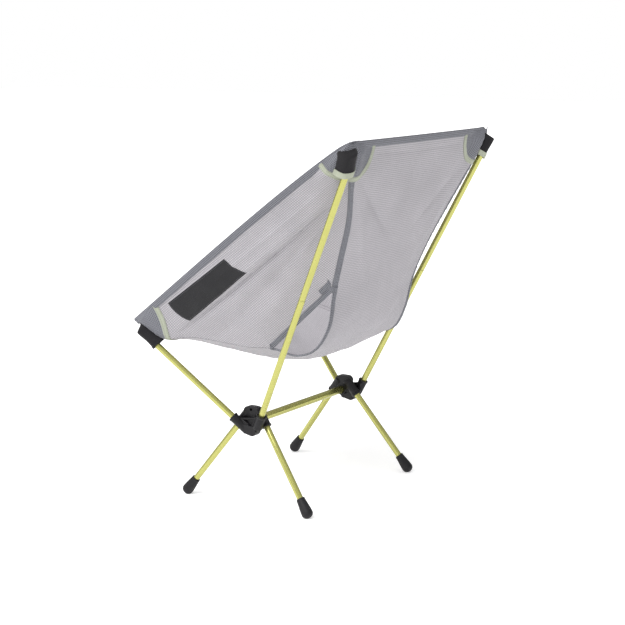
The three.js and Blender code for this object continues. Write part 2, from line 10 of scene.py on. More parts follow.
import bpy
import numpy as np
from mathutils import Vector
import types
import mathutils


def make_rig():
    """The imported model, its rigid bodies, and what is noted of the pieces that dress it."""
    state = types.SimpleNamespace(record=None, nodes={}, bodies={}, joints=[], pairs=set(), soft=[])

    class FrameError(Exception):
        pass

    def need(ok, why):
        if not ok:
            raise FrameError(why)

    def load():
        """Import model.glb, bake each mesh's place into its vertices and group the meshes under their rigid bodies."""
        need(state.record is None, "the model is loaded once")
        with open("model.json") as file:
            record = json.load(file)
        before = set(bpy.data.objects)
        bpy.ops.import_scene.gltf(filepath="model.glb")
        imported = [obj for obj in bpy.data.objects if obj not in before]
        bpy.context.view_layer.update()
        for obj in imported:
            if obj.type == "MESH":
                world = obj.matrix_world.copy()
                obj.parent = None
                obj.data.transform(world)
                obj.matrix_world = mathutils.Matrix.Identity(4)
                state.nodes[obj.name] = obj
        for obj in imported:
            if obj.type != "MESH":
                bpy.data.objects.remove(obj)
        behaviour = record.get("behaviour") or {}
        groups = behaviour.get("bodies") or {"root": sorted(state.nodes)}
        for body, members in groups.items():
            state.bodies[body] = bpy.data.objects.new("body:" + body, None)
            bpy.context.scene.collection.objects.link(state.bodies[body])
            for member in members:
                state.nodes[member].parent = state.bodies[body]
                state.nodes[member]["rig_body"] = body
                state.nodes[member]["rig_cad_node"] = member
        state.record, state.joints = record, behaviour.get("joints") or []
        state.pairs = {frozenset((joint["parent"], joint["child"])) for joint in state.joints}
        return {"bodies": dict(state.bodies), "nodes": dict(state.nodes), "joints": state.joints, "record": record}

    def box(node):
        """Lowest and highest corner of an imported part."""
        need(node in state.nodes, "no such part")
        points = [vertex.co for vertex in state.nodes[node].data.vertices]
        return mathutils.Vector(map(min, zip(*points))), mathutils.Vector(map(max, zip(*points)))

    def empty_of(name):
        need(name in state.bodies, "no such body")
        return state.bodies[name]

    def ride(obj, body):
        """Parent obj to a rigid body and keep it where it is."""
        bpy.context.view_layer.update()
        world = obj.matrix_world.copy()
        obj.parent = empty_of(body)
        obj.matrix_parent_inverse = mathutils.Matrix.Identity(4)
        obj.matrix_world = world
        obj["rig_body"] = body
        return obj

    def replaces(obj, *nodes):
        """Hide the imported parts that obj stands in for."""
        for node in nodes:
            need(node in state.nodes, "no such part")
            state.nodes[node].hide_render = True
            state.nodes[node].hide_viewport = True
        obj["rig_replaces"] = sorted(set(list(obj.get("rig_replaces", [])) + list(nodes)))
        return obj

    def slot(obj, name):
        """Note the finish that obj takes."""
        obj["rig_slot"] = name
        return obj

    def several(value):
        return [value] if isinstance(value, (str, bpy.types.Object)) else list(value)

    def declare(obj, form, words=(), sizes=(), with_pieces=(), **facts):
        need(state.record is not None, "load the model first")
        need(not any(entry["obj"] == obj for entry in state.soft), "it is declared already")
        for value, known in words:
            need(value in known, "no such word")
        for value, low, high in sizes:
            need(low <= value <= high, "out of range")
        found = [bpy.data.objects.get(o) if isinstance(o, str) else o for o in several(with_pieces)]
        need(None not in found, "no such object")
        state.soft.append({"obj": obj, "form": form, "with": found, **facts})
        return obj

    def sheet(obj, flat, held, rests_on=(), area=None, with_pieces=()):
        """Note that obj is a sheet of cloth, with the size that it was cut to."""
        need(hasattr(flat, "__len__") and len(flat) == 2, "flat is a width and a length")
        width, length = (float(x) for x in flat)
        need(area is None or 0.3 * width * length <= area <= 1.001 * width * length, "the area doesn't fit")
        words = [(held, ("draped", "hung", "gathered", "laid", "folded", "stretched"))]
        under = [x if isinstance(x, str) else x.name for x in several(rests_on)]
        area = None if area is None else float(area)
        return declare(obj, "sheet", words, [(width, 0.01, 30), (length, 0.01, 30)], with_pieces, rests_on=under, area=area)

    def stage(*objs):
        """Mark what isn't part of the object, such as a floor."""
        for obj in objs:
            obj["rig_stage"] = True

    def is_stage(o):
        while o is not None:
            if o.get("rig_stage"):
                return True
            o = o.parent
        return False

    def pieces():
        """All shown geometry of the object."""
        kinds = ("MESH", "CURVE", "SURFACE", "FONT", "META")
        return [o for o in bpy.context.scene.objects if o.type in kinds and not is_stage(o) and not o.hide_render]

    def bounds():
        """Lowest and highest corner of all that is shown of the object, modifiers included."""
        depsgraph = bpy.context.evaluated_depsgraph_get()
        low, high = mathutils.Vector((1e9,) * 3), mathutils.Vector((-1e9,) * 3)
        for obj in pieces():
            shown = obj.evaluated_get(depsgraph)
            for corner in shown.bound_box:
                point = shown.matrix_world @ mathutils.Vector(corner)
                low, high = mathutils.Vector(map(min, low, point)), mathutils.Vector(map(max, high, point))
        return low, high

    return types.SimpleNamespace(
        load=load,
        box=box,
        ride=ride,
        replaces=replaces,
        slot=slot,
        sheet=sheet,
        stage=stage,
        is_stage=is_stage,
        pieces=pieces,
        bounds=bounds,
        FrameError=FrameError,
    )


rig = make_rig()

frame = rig.load()
cad_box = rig.bounds()


def mm(values):
    """Millimetres to metres, for a number or for rows of points."""
    return np.array(values, float) * 0.001


# ---- Driving dimensions ----

POLE_RADIUS = mm(5.5)
POLE_WALL = mm(0.8)
CROSSBAR_RADIUS = mm(7)
CROSSBAR_WALL = mm(1)
GAP = mm(0.3)
CAP_HEAD = mm(5)
CORD_RADIUS = mm(1.5)
CORD_BEND_HANDLE = mm(9)
LEG_CORD_STOP = mm(26)

FOOT_BALL_RADIUS = mm(9)
FOOT_WIDEST = mm(10)
FOOT_BORE_BOTTOM = mm(4)

# The seat's guide lines, as the part's source has them, measured from the crossbar's middle.
bar_low, bar_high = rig.box("crossbar")
DATUM = np.array([0, (bar_low.y + bar_high.y) / 2, 0])
SEAM = DATUM + mm([
    (221, 254, 644), (198, 236, 576), (166, 211, 509), (146, 183, 445), (133, 159, 380),
    (129, 146, 322), (134, 122, 283), (141, 90, 272), (150, 52, 281), (163, 5, 281),
    (187, -74, 291), (208, -130, 294), (217, -187, 310),
])
MIDDLE = DATUM + mm([
    (0, 250, 643), (0, 236, 576), (0, 219, 509), (0, 199, 445), (0, 176, 380),
    (0, 153, 322), (0, 120, 281), (0, 88, 257), (0, 50, 241), (0, 5, 236),
    (0, -74, 245), (0, -130, 262), (0, -184, 287),
])
TOP_CORNER = DATUM + mm([226, 255, 647])
FRONT_CORNER = DATUM + mm([225, -197, 316])
EDGE_BOW = mm([18, 0, 3])
EDGE_BOW_SKEW = 0.6
WING_BULGE = mm(3)
HIP_FROM, HIP_TO = 3.85, 8.05
STATIONS = len(SEAM) - 1
CORNER_ANGLE = {"back": 0.75, "front": 0.86}

# The hollow in a hub's outer face: its corners as Y and Z, the face's X, its depth and its wall's run.
HOLLOW_CORNERS = DATUM[1:] + mm([[-7, 151.5], [18.5, 154.8], [11, 141.5]])
HUB_WEB_FACE = mm(163)
HOLLOW_DEPTH = mm(5)
HOLLOW_WALL = mm(1.2)

# The label's corners as station and millimetres in from the wing's free edge, upper edge first.
LABEL_CORNERS = np.array([[10.12, 19], [6.86, 24.5], [9.86, 67], [6.44, 67.5]])
LABEL_BOW = 0.1

CLOTH = mm(0.45)
TAPE = mm(0.6)
BINDING_WIDTH = mm(12)
BINDING_RADIUS = mm(1.3)
TAPE_WIDTH = mm(13)
PATCH_RADIUS = {"back": mm(70), "front": mm(65)}
PATCH_START = mm(4)
TRIM_WIDTH = mm(8.6)
CORNER_ROUNDING = {"back": mm(24), "front": mm(7)}
SEAM_TAPE_START = 0.85
FELL_WIDTH = mm(7)
HIP_BINDING_WIDTH = mm(9)
HIP_HEM_WIDTH = mm(8)
HIP_TAB_START = HIP_FROM - 0.08
HIP_TAB_STATIONS = 0.66
HIP_TAB_WIDTH = mm(9.5)

# The pockets over the seat poles' tips: the pole, the place on the seat under its tip, how far the
# pocket reaches below and above the tip, over how much of that its end closes, its mouth's length,
# its half widths at tip and mouth, how far its closed end leans to the side, how much its far side
# is raised for each unit across, and the stations that it lies between.
POCKETS = {
    "back": {"pole": "back_pole_upper_", "under": (0.29, 1.29), "below": mm(28), "above": mm(4.6),
             "closing": mm(2.5), "mouth": mm(9), "widths": (mm(14.5), mm(15)), "lean": mm(4), "tilt": -0.3,
             "stations": (0.0, 1.8)},
    "front": {"pole": "front_pole_", "under": (11.82, 1.23), "below": mm(37), "above": mm(6),
              "closing": mm(8), "mouth": mm(4), "widths": (mm(8), mm(10.5)), "lean": 0.0, "tilt": 0.0,
              "stations": (10.4, 12.0)},
}
POCKET_CLEARANCE = mm(1.4)


# ---- Meshes ----

def unit(vectors):
    """Vectors brought to length 1 along the last axis."""
    length = np.linalg.norm(vectors, axis=-1, keepdims=True)
    return vectors / np.maximum(length, 1e-12)


def lengths_along(line):
    """How far along a line of points each point lies."""
    return np.concatenate([[0], np.cumsum(np.linalg.norm(np.diff(line, axis=0), axis=-1))])


def add_object(name, data):
    made = bpy.data.objects.new(name, data)
    bpy.context.scene.collection.objects.link(made)
    return made


def make_object(name, points, faces, material, body, uv=None):
    """A smooth-shaded mesh that rides on a body. uv is one flat place in metres for each point."""
    mesh = bpy.data.meshes.new(name)
    faces = faces.tolist() if isinstance(faces, np.ndarray) else faces
    mesh.from_pydata(np.asarray(points).reshape(-1, 3).tolist(), [], faces)
    if uv is not None:
        layer = mesh.uv_layers.new(name="Weave")
        corners = np.zeros(len(mesh.loops), np.int32)
        mesh.loops.foreach_get("vertex_index", corners)
        layer.data.foreach_set("uv", np.asarray(uv).reshape(-1, 2)[corners].astype(np.float32).ravel())
    mesh.shade_smooth()
    return place(name, mesh, material, body)


def place(name, mesh, material, body):
    """Puts a mesh in the scene with its material, riding on a body."""
    piece = add_object(name, mesh)
    mesh.materials.clear()
    mesh.materials.append(material.shader)
    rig.ride(piece, body)
    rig.slot(piece, material.slot)
    return piece


def grid_quads(rows, columns, start=0, wrap=False):
    """The faces of a grid of points, row by row. With wrap, the last column joins the first."""
    width = columns if wrap else columns + 1
    across = np.arange(columns)
    after = (across + 1) % width
    row = start + np.arange(rows)[:, None] * width
    quads = np.stack([row + across, row + after, row + width + after, row + width + across], -1)
    return quads.reshape(-1, 4)


def grid_normals(points):
    along = np.gradient(points, axis=0)
    across = np.gradient(points, axis=1)
    return unit(np.cross(along, across))


def flat_places(points):
    """A flat place in metres for each point of a grid: across its row, and along its middle."""
    across = np.linalg.norm(np.diff(points, axis=1), axis=-1)
    across = np.concatenate([np.zeros((len(points), 1)), np.cumsum(across, axis=1)], axis=1)
    across -= across[:, -1:] / 2
    along = lengths_along(points[:, points.shape[1] // 2])
    return np.stack([across, np.broadcast_to(along[:, None], across.shape)], -1)


def grid_area(points):
    diagonals = np.cross(points[1:, 1:] - points[:-1, :-1], points[1:, :-1] - points[:-1, 1:])
    return float(np.linalg.norm(diagonals, axis=-1).sum() / 2)


SHEETS = {}


def cloth(name, node, points, thickness, material, held="stretched", rests_on=(), uv=None,
          sewn_to=None):
    """Cloth with a real thickness round a grid of points, in place of a CAD node if one is given. It
    is a sheet of its own, noted with its flat size, or a narrow tape that goes with the sheet it is
    sewn to."""
    rows, columns = points.shape[0] - 1, points.shape[1] - 1
    normals = grid_normals(points)
    layers = np.stack([points + normals * thickness / 2, points - normals * thickness / 2])
    under = (rows + 1) * (columns + 1)
    width = columns + 1
    rim = np.concatenate([
        np.arange(columns), np.arange(rows) * width + columns,
        rows * width + np.arange(columns, 0, -1), np.arange(rows, 0, -1) * width,
    ])
    after = np.roll(rim, -1)
    faces = np.concatenate([
        grid_quads(rows, columns)[:, ::-1], grid_quads(rows, columns, under),
        np.stack([rim, after, under + after, under + rim], -1),
    ])
    sizes = flat_places(points)
    uv = sizes if uv is None else uv
    piece = make_object(name, layers, faces, material, "seat", np.stack([uv, uv]))
    if node:
        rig.replaces(piece, node)
    if sewn_to:
        SHEETS[sewn_to]["with_pieces"].append(piece)
        return
    flat = float(np.ptp(sizes[..., 0], axis=1).max()), float(np.ptp(sizes[..., 1]))
    # A tape that bends in its own plane is cut straight, so its area is at most its length by its width.
    area = min(grid_area(points), flat[0] * flat[1])
    SHEETS[name] = {"obj": piece, "flat": flat, "held": held, "rests_on": rests_on, "area": area,
                    "with_pieces": []}


def ring_frame(along):
    """Two directions across a direction, each at right angles to it."""
    reference = np.array([1.0, 0, 0]) if abs(along[0]) < 0.9 else np.array([0, 1.0, 0])
    first = unit(reference - along * (reference @ along))
    return first, np.cross(along, first)


def turned(name, start, along, profile, material, body, sides=48):
    """A turned piece round an axis. profile is a closed loop of (radius, distance) rows."""
    profile = np.asarray(profile, float)
    first, second = ring_frame(along)
    angles = np.linspace(0, 2 * math.pi, sides, endpoint=False)
    around = np.cos(angles)[:, None] * first + np.sin(angles)[:, None] * second
    loop = np.concatenate([profile, profile[:1]])
    points = start + loop[:, None, 1:2] * along + loop[:, None, 0:1] * around
    faces = grid_quads(len(profile), sides, wrap=True) % (len(profile) * sides)
    uv = np.stack(np.broadcast_arrays(
        angles * profile[:, :1].max(), loop[:-1, None, 1]), -1)
    return make_object(name, points[:-1], faces, material, body, uv)


def rounded(corners, radius=mm(0.3), steps=3):
    """A closed loop of (radius, distance) corners with each corner rounded off."""
    corners = np.asarray(corners, float)
    before, after = np.roll(corners, 1, axis=0), np.roll(corners, -1, axis=0)
    points = []
    for corner, last, following in zip(corners, before, after):
        reach_in = min(radius, np.linalg.norm(last - corner) / 2.2)
        reach_out = min(radius, np.linalg.norm(following - corner) / 2.2)
        first = corner + unit(last - corner) * reach_in
        final = corner + unit(following - corner) * reach_out
        for step in np.linspace(0, 1, steps + 1):
            points.append((1 - step) ** 2 * first + 2 * step * (1 - step) * corner + step ** 2 * final)
    return np.array(points)


def swept(name, points, radius, material, body, sides=20):
    """A round cord along a line of points, closed at its ends."""
    points = np.asarray(points, float)
    along = unit(np.gradient(points, axis=0))
    across = unit(np.array([1.0, 0, 0]) - along * along[:, :1])
    up = np.cross(along, across)
    angles = np.linspace(0, 2 * math.pi, sides, endpoint=False)
    rings = (points[:, None] + radius * (np.cos(angles)[:, None] * across[:, None]
                                         + np.sin(angles)[:, None] * up[:, None]))
    uv = np.stack(np.broadcast_arrays(angles * radius, lengths_along(points)[:, None]), -1)
    faces = grid_quads(len(points) - 1, sides, wrap=True).tolist()
    last = (len(points) - 1) * sides
    faces.append(list(range(sides))[::-1])
    faces.append(list(range(last, last + sides)))
    return make_object(name, rings, faces, material, body, uv)


# ---- Materials ----

def add_node(tree, kind, inputs=(), **settings):
    """A node with its settings, and its inputs by number or name as values or as sockets."""
    made = tree.nodes.new(f"ShaderNode{kind}")
    for key, value in settings.items():
        setattr(made, key, value)
    for key, value in dict(inputs).items():
        if isinstance(value, bpy.types.NodeSocket):
            tree.links.new(value, made.inputs[key])
        else:
            made.inputs[key].default_value = value
    return made


def shade(color, factor):
    """A colour made darker or lighter."""
    return tuple(min(channel * factor, 1) for channel in color[:3]) + (1.0,)


class Material:
    """A material made of nodes, and the record's slot it stands for."""

    def __init__(self, name, slot, **settings):
        self.shader = bpy.data.materials.new(name)
        self.shader.use_nodes = True
        self.slot = slot
        self.tree = self.shader.node_tree
        self.surface = next(n for n in self.tree.nodes if n.type == "BSDF_PRINCIPLED")
        self.output = next(n for n in self.tree.nodes if n.type == "OUTPUT_MATERIAL")
        for socket, value in settings.items():
            self.surface.inputs[socket.replace("_", " ")].default_value = value

    def node(self, kind, inputs=(), **settings):
        return add_node(self.tree, kind, inputs, **settings)

    def math(self, operation, *values):
        return self.node("Math", enumerate(values), operation=operation).outputs[0]

    def remap(self, value, low, high, to_low=0.0, to_high=1.0):
        node = self.node("MapRange", {0: value, 1: low, 2: high, 3: to_low, 4: to_high})
        return node.outputs[0]

    def mix(self, share, first, second):
        """A colour between two colours."""
        node = self.node("Mix", {0: share, 6: first, 7: second}, data_type="RGBA")
        return node.outputs[2]

    def noise(self, place, scale, detail=2.0, stretch=None):
        if stretch:
            place = self.node("Mapping", {0: place, 3: stretch}).outputs[0]
        return self.node("TexNoise", {"Vector": place, "Scale": scale, "Detail": detail}).outputs[0]

    def object_place(self):
        return self.node("TexCoord").outputs["Object"]

    def flat_place(self):
        return self.node("UVMap", uv_map="Weave").outputs[0]

    def set(self, socket, value):
        self.tree.links.new(value, self.surface.inputs[socket])

    def bump(self, height, distance, strength=1.0):
        node = self.node("Bump", {"Height": height, "Distance": distance, "Strength": strength})
        self.set("Normal", node.outputs[0])


def rgb(red, green, blue):
    """A colour given as it shows on a screen, from 0 to 255, as Blender's linear colour."""
    def linear(value):
        value /= 255
        return value / 12.92 if value <= 0.04045 else ((value + 0.055) / 1.055) ** 2.4
    return linear(red), linear(green), linear(blue), 1.0


def metal(name, slot, color, metallic, roughness):
    """A drawn tube: fine lines along it, and faint stains and rubs."""
    made = Material(name, slot, Metallic=metallic, Roughness=roughness)
    spot = made.object_place()
    flat = made.flat_place()
    drawn = made.noise(flat, 900.0, 3.0, (1.0, 0.02, 1.0))
    stains = made.noise(spot, 35.0, 4.0)
    made.set("Base Color", made.mix(made.remap(stains, 0.35, 0.7), shade(color, 0.95), color))
    rubs = made.remap(made.noise(spot, 260.0, 3.0), 0.55, 0.8, 0.0, 0.12)
    made.set("Roughness", made.math("ADD", made.remap(stains, 0.3, 0.7, roughness - 0.04, roughness + 0.05),
                                    rubs))
    made.bump(drawn, 0.00003, 0.5)
    return made


def moulded(name, slot, color, roughness, grain, grain_depth):
    """Moulded nylon or rubber: a fine spark-eroded grain and slightly uneven gloss."""
    made = Material(name, slot, Roughness=roughness, Specular_IOR_Level=0.3)
    spot = made.object_place()
    fine = made.noise(spot, grain, 3.0)
    broad = made.noise(spot, 60.0, 2.0)
    pale = tuple(min(channel * 1.5 + 0.004, 1) for channel in color[:3]) + (1.0,)
    made.set("Base Color", made.mix(made.remap(broad, 0.35, 0.75), color, pale))
    made.set("Roughness", made.remap(broad, 0.3, 0.7, roughness - 0.05, roughness + 0.08))
    made.bump(fine, grain_depth, 0.6)
    return made


def ripstop(name, slot, ground, line, period, thread, see_through=0.0, contrast=0.8, sheen=0.08):
    """Ripstop cloth: a plain weave of fine threads, with thicker threads in a grid."""
    made = Material(name, slot, Sheen_Weight=sheen, Sheen_Roughness=0.4, Specular_IOR_Level=0.3)
    flat = made.node("SeparateXYZ", {0: made.flat_place()})
    bars = []
    waves = []
    for axis in (0, 1):
        across = flat.outputs[axis]
        fold = made.math("PINGPONG", across, period / 2)
        bars.append(made.remap(fold, thread * 0.35, thread * 0.8, 1.0, 0.0))
        waves.append(made.math("SINE", made.math("MULTIPLY", across, 2 * math.pi / mm(0.5))))
    grid = made.math("MAXIMUM", *bars)
    weave = made.math("MULTIPLY", *waves)
    blotch = made.noise(made.object_place(), 14.0, 3.0)
    slub = made.noise(made.flat_place(), 700.0, 2.0)
    base = made.mix(made.remap(blotch, 0.35, 0.7), shade(ground, 0.9), ground)
    base = made.mix(made.math("MULTIPLY", made.remap(slub, 0.35, 0.75), 0.25), base, line)
    color = made.mix(made.math("MULTIPLY", grid, contrast), base, line)
    made.set("Base Color", color)
    made.set("Roughness", made.remap(blotch, 0.3, 0.7, 0.68, 0.82))
    height = made.math("ADD", made.math("MULTIPLY", weave, 0.25), grid)
    made.bump(height, 0.00018, 0.7)
    if see_through:
        glow = made.node("BsdfTranslucent", {"Color": color})
        both = made.node("MixShader", {0: see_through, 1: made.surface.outputs[0], 2: glow.outputs[0]})
        made.tree.links.new(both.outputs[0], made.output.inputs[0])
    return made


def grosgrain(name, slot, ground, dark, rib):
    """Ribbed tape, with ribs across it and painted shade in the troughs between the ribs."""
    made = Material(name, slot, Sheen_Weight=0.2, Sheen_Roughness=0.4, Specular_IOR_Level=0.3)
    flat = made.node("SeparateXYZ", {0: made.flat_place()})
    ribs = made.remap(made.math("SINE", made.math("MULTIPLY", flat.outputs[1], 2 * math.pi / rib)),
                      -1.0, 1.0)
    fuzz = made.noise(made.flat_place(), 1500.0, 3.0)
    blotch = made.noise(made.object_place(), 40.0, 3.0)
    # The troughs between the ribs are drawn darker as painted shade; the blotches below are the tape's own uneven
    # tone.
    base = made.mix(made.math("MULTIPLY", made.math("SUBTRACT", 1.0, ribs), 0.55), ground, dark)
    made.set("Base Color", made.mix(made.math("MULTIPLY", made.remap(blotch, 0.4, 0.7), 0.3), base, dark))
    made.set("Roughness", made.remap(fuzz, 0.3, 0.7, 0.75, 0.9))
    made.bump(made.math("ADD", ribs, made.math("MULTIPLY", fuzz, 0.5)), 0.00025, 0.7)
    return made


def braided(name, slot, color, fleck):
    """A cord's woven sheath: two sets of strands that cross on the slant, with flecks."""
    made = Material(name, slot, Roughness=0.85, Sheen_Weight=0.3)
    flat = made.node("SeparateXYZ", {0: made.flat_place()})
    turn = made.math("MULTIPLY", flat.outputs[0], 2 * math.pi / mm(1.2))
    climb = made.math("MULTIPLY", flat.outputs[1], 2 * math.pi / mm(1.6))
    first = made.math("SINE", made.math("ADD", turn, climb))
    second = made.math("SINE", made.math("SUBTRACT", turn, climb))
    strands = made.remap(made.math("MAXIMUM", first, second), -0.2, 1.0)
    made.set("Base Color", made.mix(made.math("GREATER_THAN", first, 0.92), color, fleck))
    made.bump(strands, 0.00025, 0.8)
    return made


def sewing_thread(name, slot, color):
    """Spun polyester thread, twisted, with a slight shine."""
    made = Material(name, slot, Roughness=0.55, Sheen_Weight=0.2)
    strands = made.noise(made.object_place(), 3500.0, 2.0)
    made.set("Base Color", made.mix(strands, shade(color, 0.7), color))
    made.bump(strands, 0.0001, 0.5)
    return made


ANODISED = metal("lime_anodised_tube", "anodised_tube", rgb(184, 183, 108), 0.85, 0.24)
ALLOY = metal("bare_drawn_alloy", "bare_alloy", rgb(188, 190, 194), 0.95, 0.36)
NYLON = moulded("black_moulded_nylon", "hub_nylon", rgb(13, 12, 15), 0.36, 1400.0, 0.00006)
RUBBER = moulded("black_rubber", "foot_rubber", rgb(21, 20, 23), 0.55, 1900.0, 0.00008)
LIGHT = ripstop("light_grey_ripstop", "ripstop_light", rgb(206, 203, 207), rgb(126, 123, 130),
                mm(3.4), mm(0.7), see_through=0.16, contrast=0.8)
DARK = ripstop("dark_grey_ripstop", "ripstop_dark", rgb(64, 65, 71), rgb(142, 143, 150),
               mm(3.0), mm(0.9), contrast=0.75)
PALE = grosgrain("pale_green_tape", "pale_tape", rgb(180, 184, 166), rgb(122, 127, 110), mm(1.1))
BLACK = ripstop("black_pack_cloth", "pocket_black", rgb(16, 14, 17), rgb(28, 27, 30),
                mm(1.4), mm(0.7), contrast=0.6)
LABEL = ripstop("charcoal_satin", "label_patch", rgb(30, 29, 31), rgb(40, 40, 43),
                mm(0.9), mm(0.4), contrast=0.5)
CORD = braided("shock_cord_sheath", "shock_cord", rgb(40, 40, 44), rgb(196, 198, 110))
GREY_THREAD = sewing_thread("grey_thread", "ripstop_dark", rgb(92, 93, 100))


# ---- Frame ----

def cad_points(node):
    points = np.array([vertex.co for vertex in frame["nodes"][node].data.vertices], float)
    return np.unique(points.round(6), axis=0)


HUB_HEIGHT = float(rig.box("crossbar")[0].z)


def tube_line(node):
    """The centre line of a CAD tube: its end nearer the hubs, its direction and its length."""
    points = cad_points(node)
    middle = points.mean(axis=0)
    along = np.linalg.svd(points - middle)[2][0]
    reach = (points - middle) @ along
    first, last = middle + along * reach.min(), middle + along * reach.max()
    if np.linalg.norm(first[1:] - DATUM[1:] - [0, HUB_HEIGHT]) > np.linalg.norm(
            last[1:] - DATUM[1:] - [0, HUB_HEIGHT]):
        first, last = last, first
    return first, unit(last - first), float(np.linalg.norm(last - first))


def body_of(node):
    return next(name for name, nodes in frame["record"]["behaviour"]["bodies"].items() if node in nodes)


def tube(node, radius, wall, material):
    """A drawn tube with softened ends in place of its CAD node."""
    start, along, length = tube_line(node)
    loop = rounded([[radius - wall, 0], [radius, 0], [radius, length], [radius - wall, length]],
                   wall * 0.35)
    piece = turned(node + "_tube", start, along, loop, material, body_of(node))
    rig.replaces(piece, node)
    return start, along, length


def foot(node, leg):
    """A rubber foot: a blunt ball with a flat under it, and a long taper to a rolled collar."""
    start, along, length = tube_line(leg)
    centre = start + along * (length + FOOT_BORE_BOTTOM + GAP)
    up = -along
    ball = [(FOOT_WIDEST * math.sin(angle), -FOOT_BALL_RADIUS * math.cos(angle))
            for angle in np.linspace(0.02, math.pi / 2, 18)]
    taper = mm([
        [9.95, 2.2], [9.8, 4.5], [9.5, 8], [9.1, 12], [8.6, 16], [8.1, 20], [7.7, 23.5], [7.55, 25.5],
        [7.5, 26.6], [7.3, 27.4], [6.8, 27.8], [6.1, 27.6], [5.75, 26.6], [5.6, 24], [5.6, 4], [0.1, 4],
    ])
    piece = turned(node + "_rubber", centre, up, np.concatenate([ball, taper]), RUBBER, body_of(node))
    for vertex in piece.data.vertices:
        vertex.co.z = max(vertex.co.z, 0.0)
    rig.replaces(piece, node)


def hub(node):
    """The CAD hub with its edges rounded over, as a moulding has them, and a hollow in its face."""
    source = frame["nodes"][node]
    piece = place(node + "_moulding", source.data.copy(), NYLON, body_of(node))
    steps = [("REMESH", {"mode": "VOXEL", "voxel_size": float(mm(0.5))}),
             ("SMOOTH", {"factor": 0.6, "iterations": 5})]
    for kind, settings in steps:
        modifier = piece.modifiers.new(kind.lower(), kind)
        for key, value in settings.items():
            setattr(modifier, key, value)
    apply_modifiers(piece)
    press_hollow(piece.data)
    piece.data.shade_smooth()
    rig.replaces(piece, node)


def press_hollow(mesh):
    """Presses the three-cornered hollow between the pole sockets into a hub's outer face."""
    middle = HOLLOW_CORNERS.mean(axis=0)
    for vertex in mesh.vertices:
        inside = 1.0
        for corner, following in zip(HOLLOW_CORNERS, np.roll(HOLLOW_CORNERS, -1, axis=0)):
            across = unit(following - corner) @ [[0, 1], [-1, 0]]
            across *= np.sign((middle - corner) @ across)
            inside = min(inside, (np.array(vertex.co[1:]) - corner) @ across)
        if inside > 0:
            floor = HUB_WEB_FACE - HOLLOW_DEPTH * min(inside / HOLLOW_WALL, 1)
            vertex.co.x = math.copysign(min(abs(vertex.co.x), floor), vertex.co.x)


def apply_modifiers(piece):
    """Bakes an object's modifiers into its mesh."""
    graph = bpy.context.evaluated_depsgraph_get()
    finished = bpy.data.meshes.new_from_object(piece.evaluated_get(graph))
    piece.modifiers.clear()
    piece.data = finished


def cord(node, first, second, first_reach, second_reach):
    """A shock cord: down one tube, round a bend inside the hub and up the next tube."""
    (start_a, along_a, _), (start_b, along_b, _) = first, second
    ends = [start_a - along_a * GAP, start_b - along_b * GAP]
    handles = [ends[0] - along_a * CORD_BEND_HANDLE, ends[1] - along_b * CORD_BEND_HANDLE]
    share = np.linspace(0, 1, 17)[:, None]
    bend = ((1 - share) ** 3 * ends[0] + 3 * share * (1 - share) ** 2 * handles[0]
            + 3 * share ** 2 * (1 - share) * handles[1] + share ** 3 * ends[1])
    run_a = start_a + along_a * np.linspace(first_reach, mm(2), 24)[:, None]
    run_b = start_b + along_b * np.linspace(mm(2), second_reach, 24)[:, None]
    route = np.concatenate([run_a, bend, run_b])
    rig.replaces(swept(node + "_sheath", route, CORD_RADIUS, CORD, "root"), node)


def tip_cap(node, pole):
    """The plug in a pole's end, with a rounded head."""
    start, along, length = tube_line(pole)
    plug = POLE_RADIUS - POLE_WALL - GAP
    head = POLE_RADIUS + mm(0.7)
    bore = CORD_RADIUS + 2 * GAP
    loop = rounded([[bore, -mm(10)], [plug, -mm(10)], [plug, GAP], [head, GAP], [head, mm(2.5)],
                    [head - mm(2), CAP_HEAD], [bore, CAP_HEAD]], mm(0.6))
    piece = turned(node + "_plug", start + along * length, along, loop, NYLON, body_of(node))
    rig.replaces(piece, node)


def build_frame():
    tube("crossbar", CROSSBAR_RADIUS, CROSSBAR_WALL, ANODISED)
    for side in ("left", "right"):
        lines = {}
        for name in (f"leg_front_{side}", f"leg_rear_{side}", f"front_pole_{side}",
                     f"back_pole_lower_{side}", f"back_pole_upper_{side}"):
            lines[name] = tube(name, POLE_RADIUS, POLE_WALL, ANODISED)
        tube(f"pole_ferrule_{side}", POLE_RADIUS - POLE_WALL - GAP, POLE_WALL, ALLOY)
        for end in ("front", "rear"):
            foot(f"foot_{end}_{side}", f"leg_{end}_{side}")
        hub(f"hub_{side}")
        tip_cap(f"tip_cap_front_{side}", f"front_pole_{side}")
        tip_cap(f"tip_cap_back_{side}", f"back_pole_upper_{side}")

        legs = [lines[f"leg_front_{side}"], lines[f"leg_rear_{side}"]]
        cord(f"leg_cord_{side}", *legs, legs[0][2] - LEG_CORD_STOP, legs[1][2] - LEG_CORD_STOP)
        front, lower = lines[f"front_pole_{side}"], lines[f"back_pole_lower_{side}"]
        upper = lines[f"back_pole_upper_{side}"]
        cord(f"pole_cord_{side}", front, lower, front[2] + mm(2), lower[2] + upper[2] + mm(2))


# ---- Seat surface ----
# A place on the seat is a station, 0 at the top edge to 12 at the front edge, and how far across it
# lies: 0 on the centre line, 1 on the left seam, 2 on the left wing's free edge; negative is right.

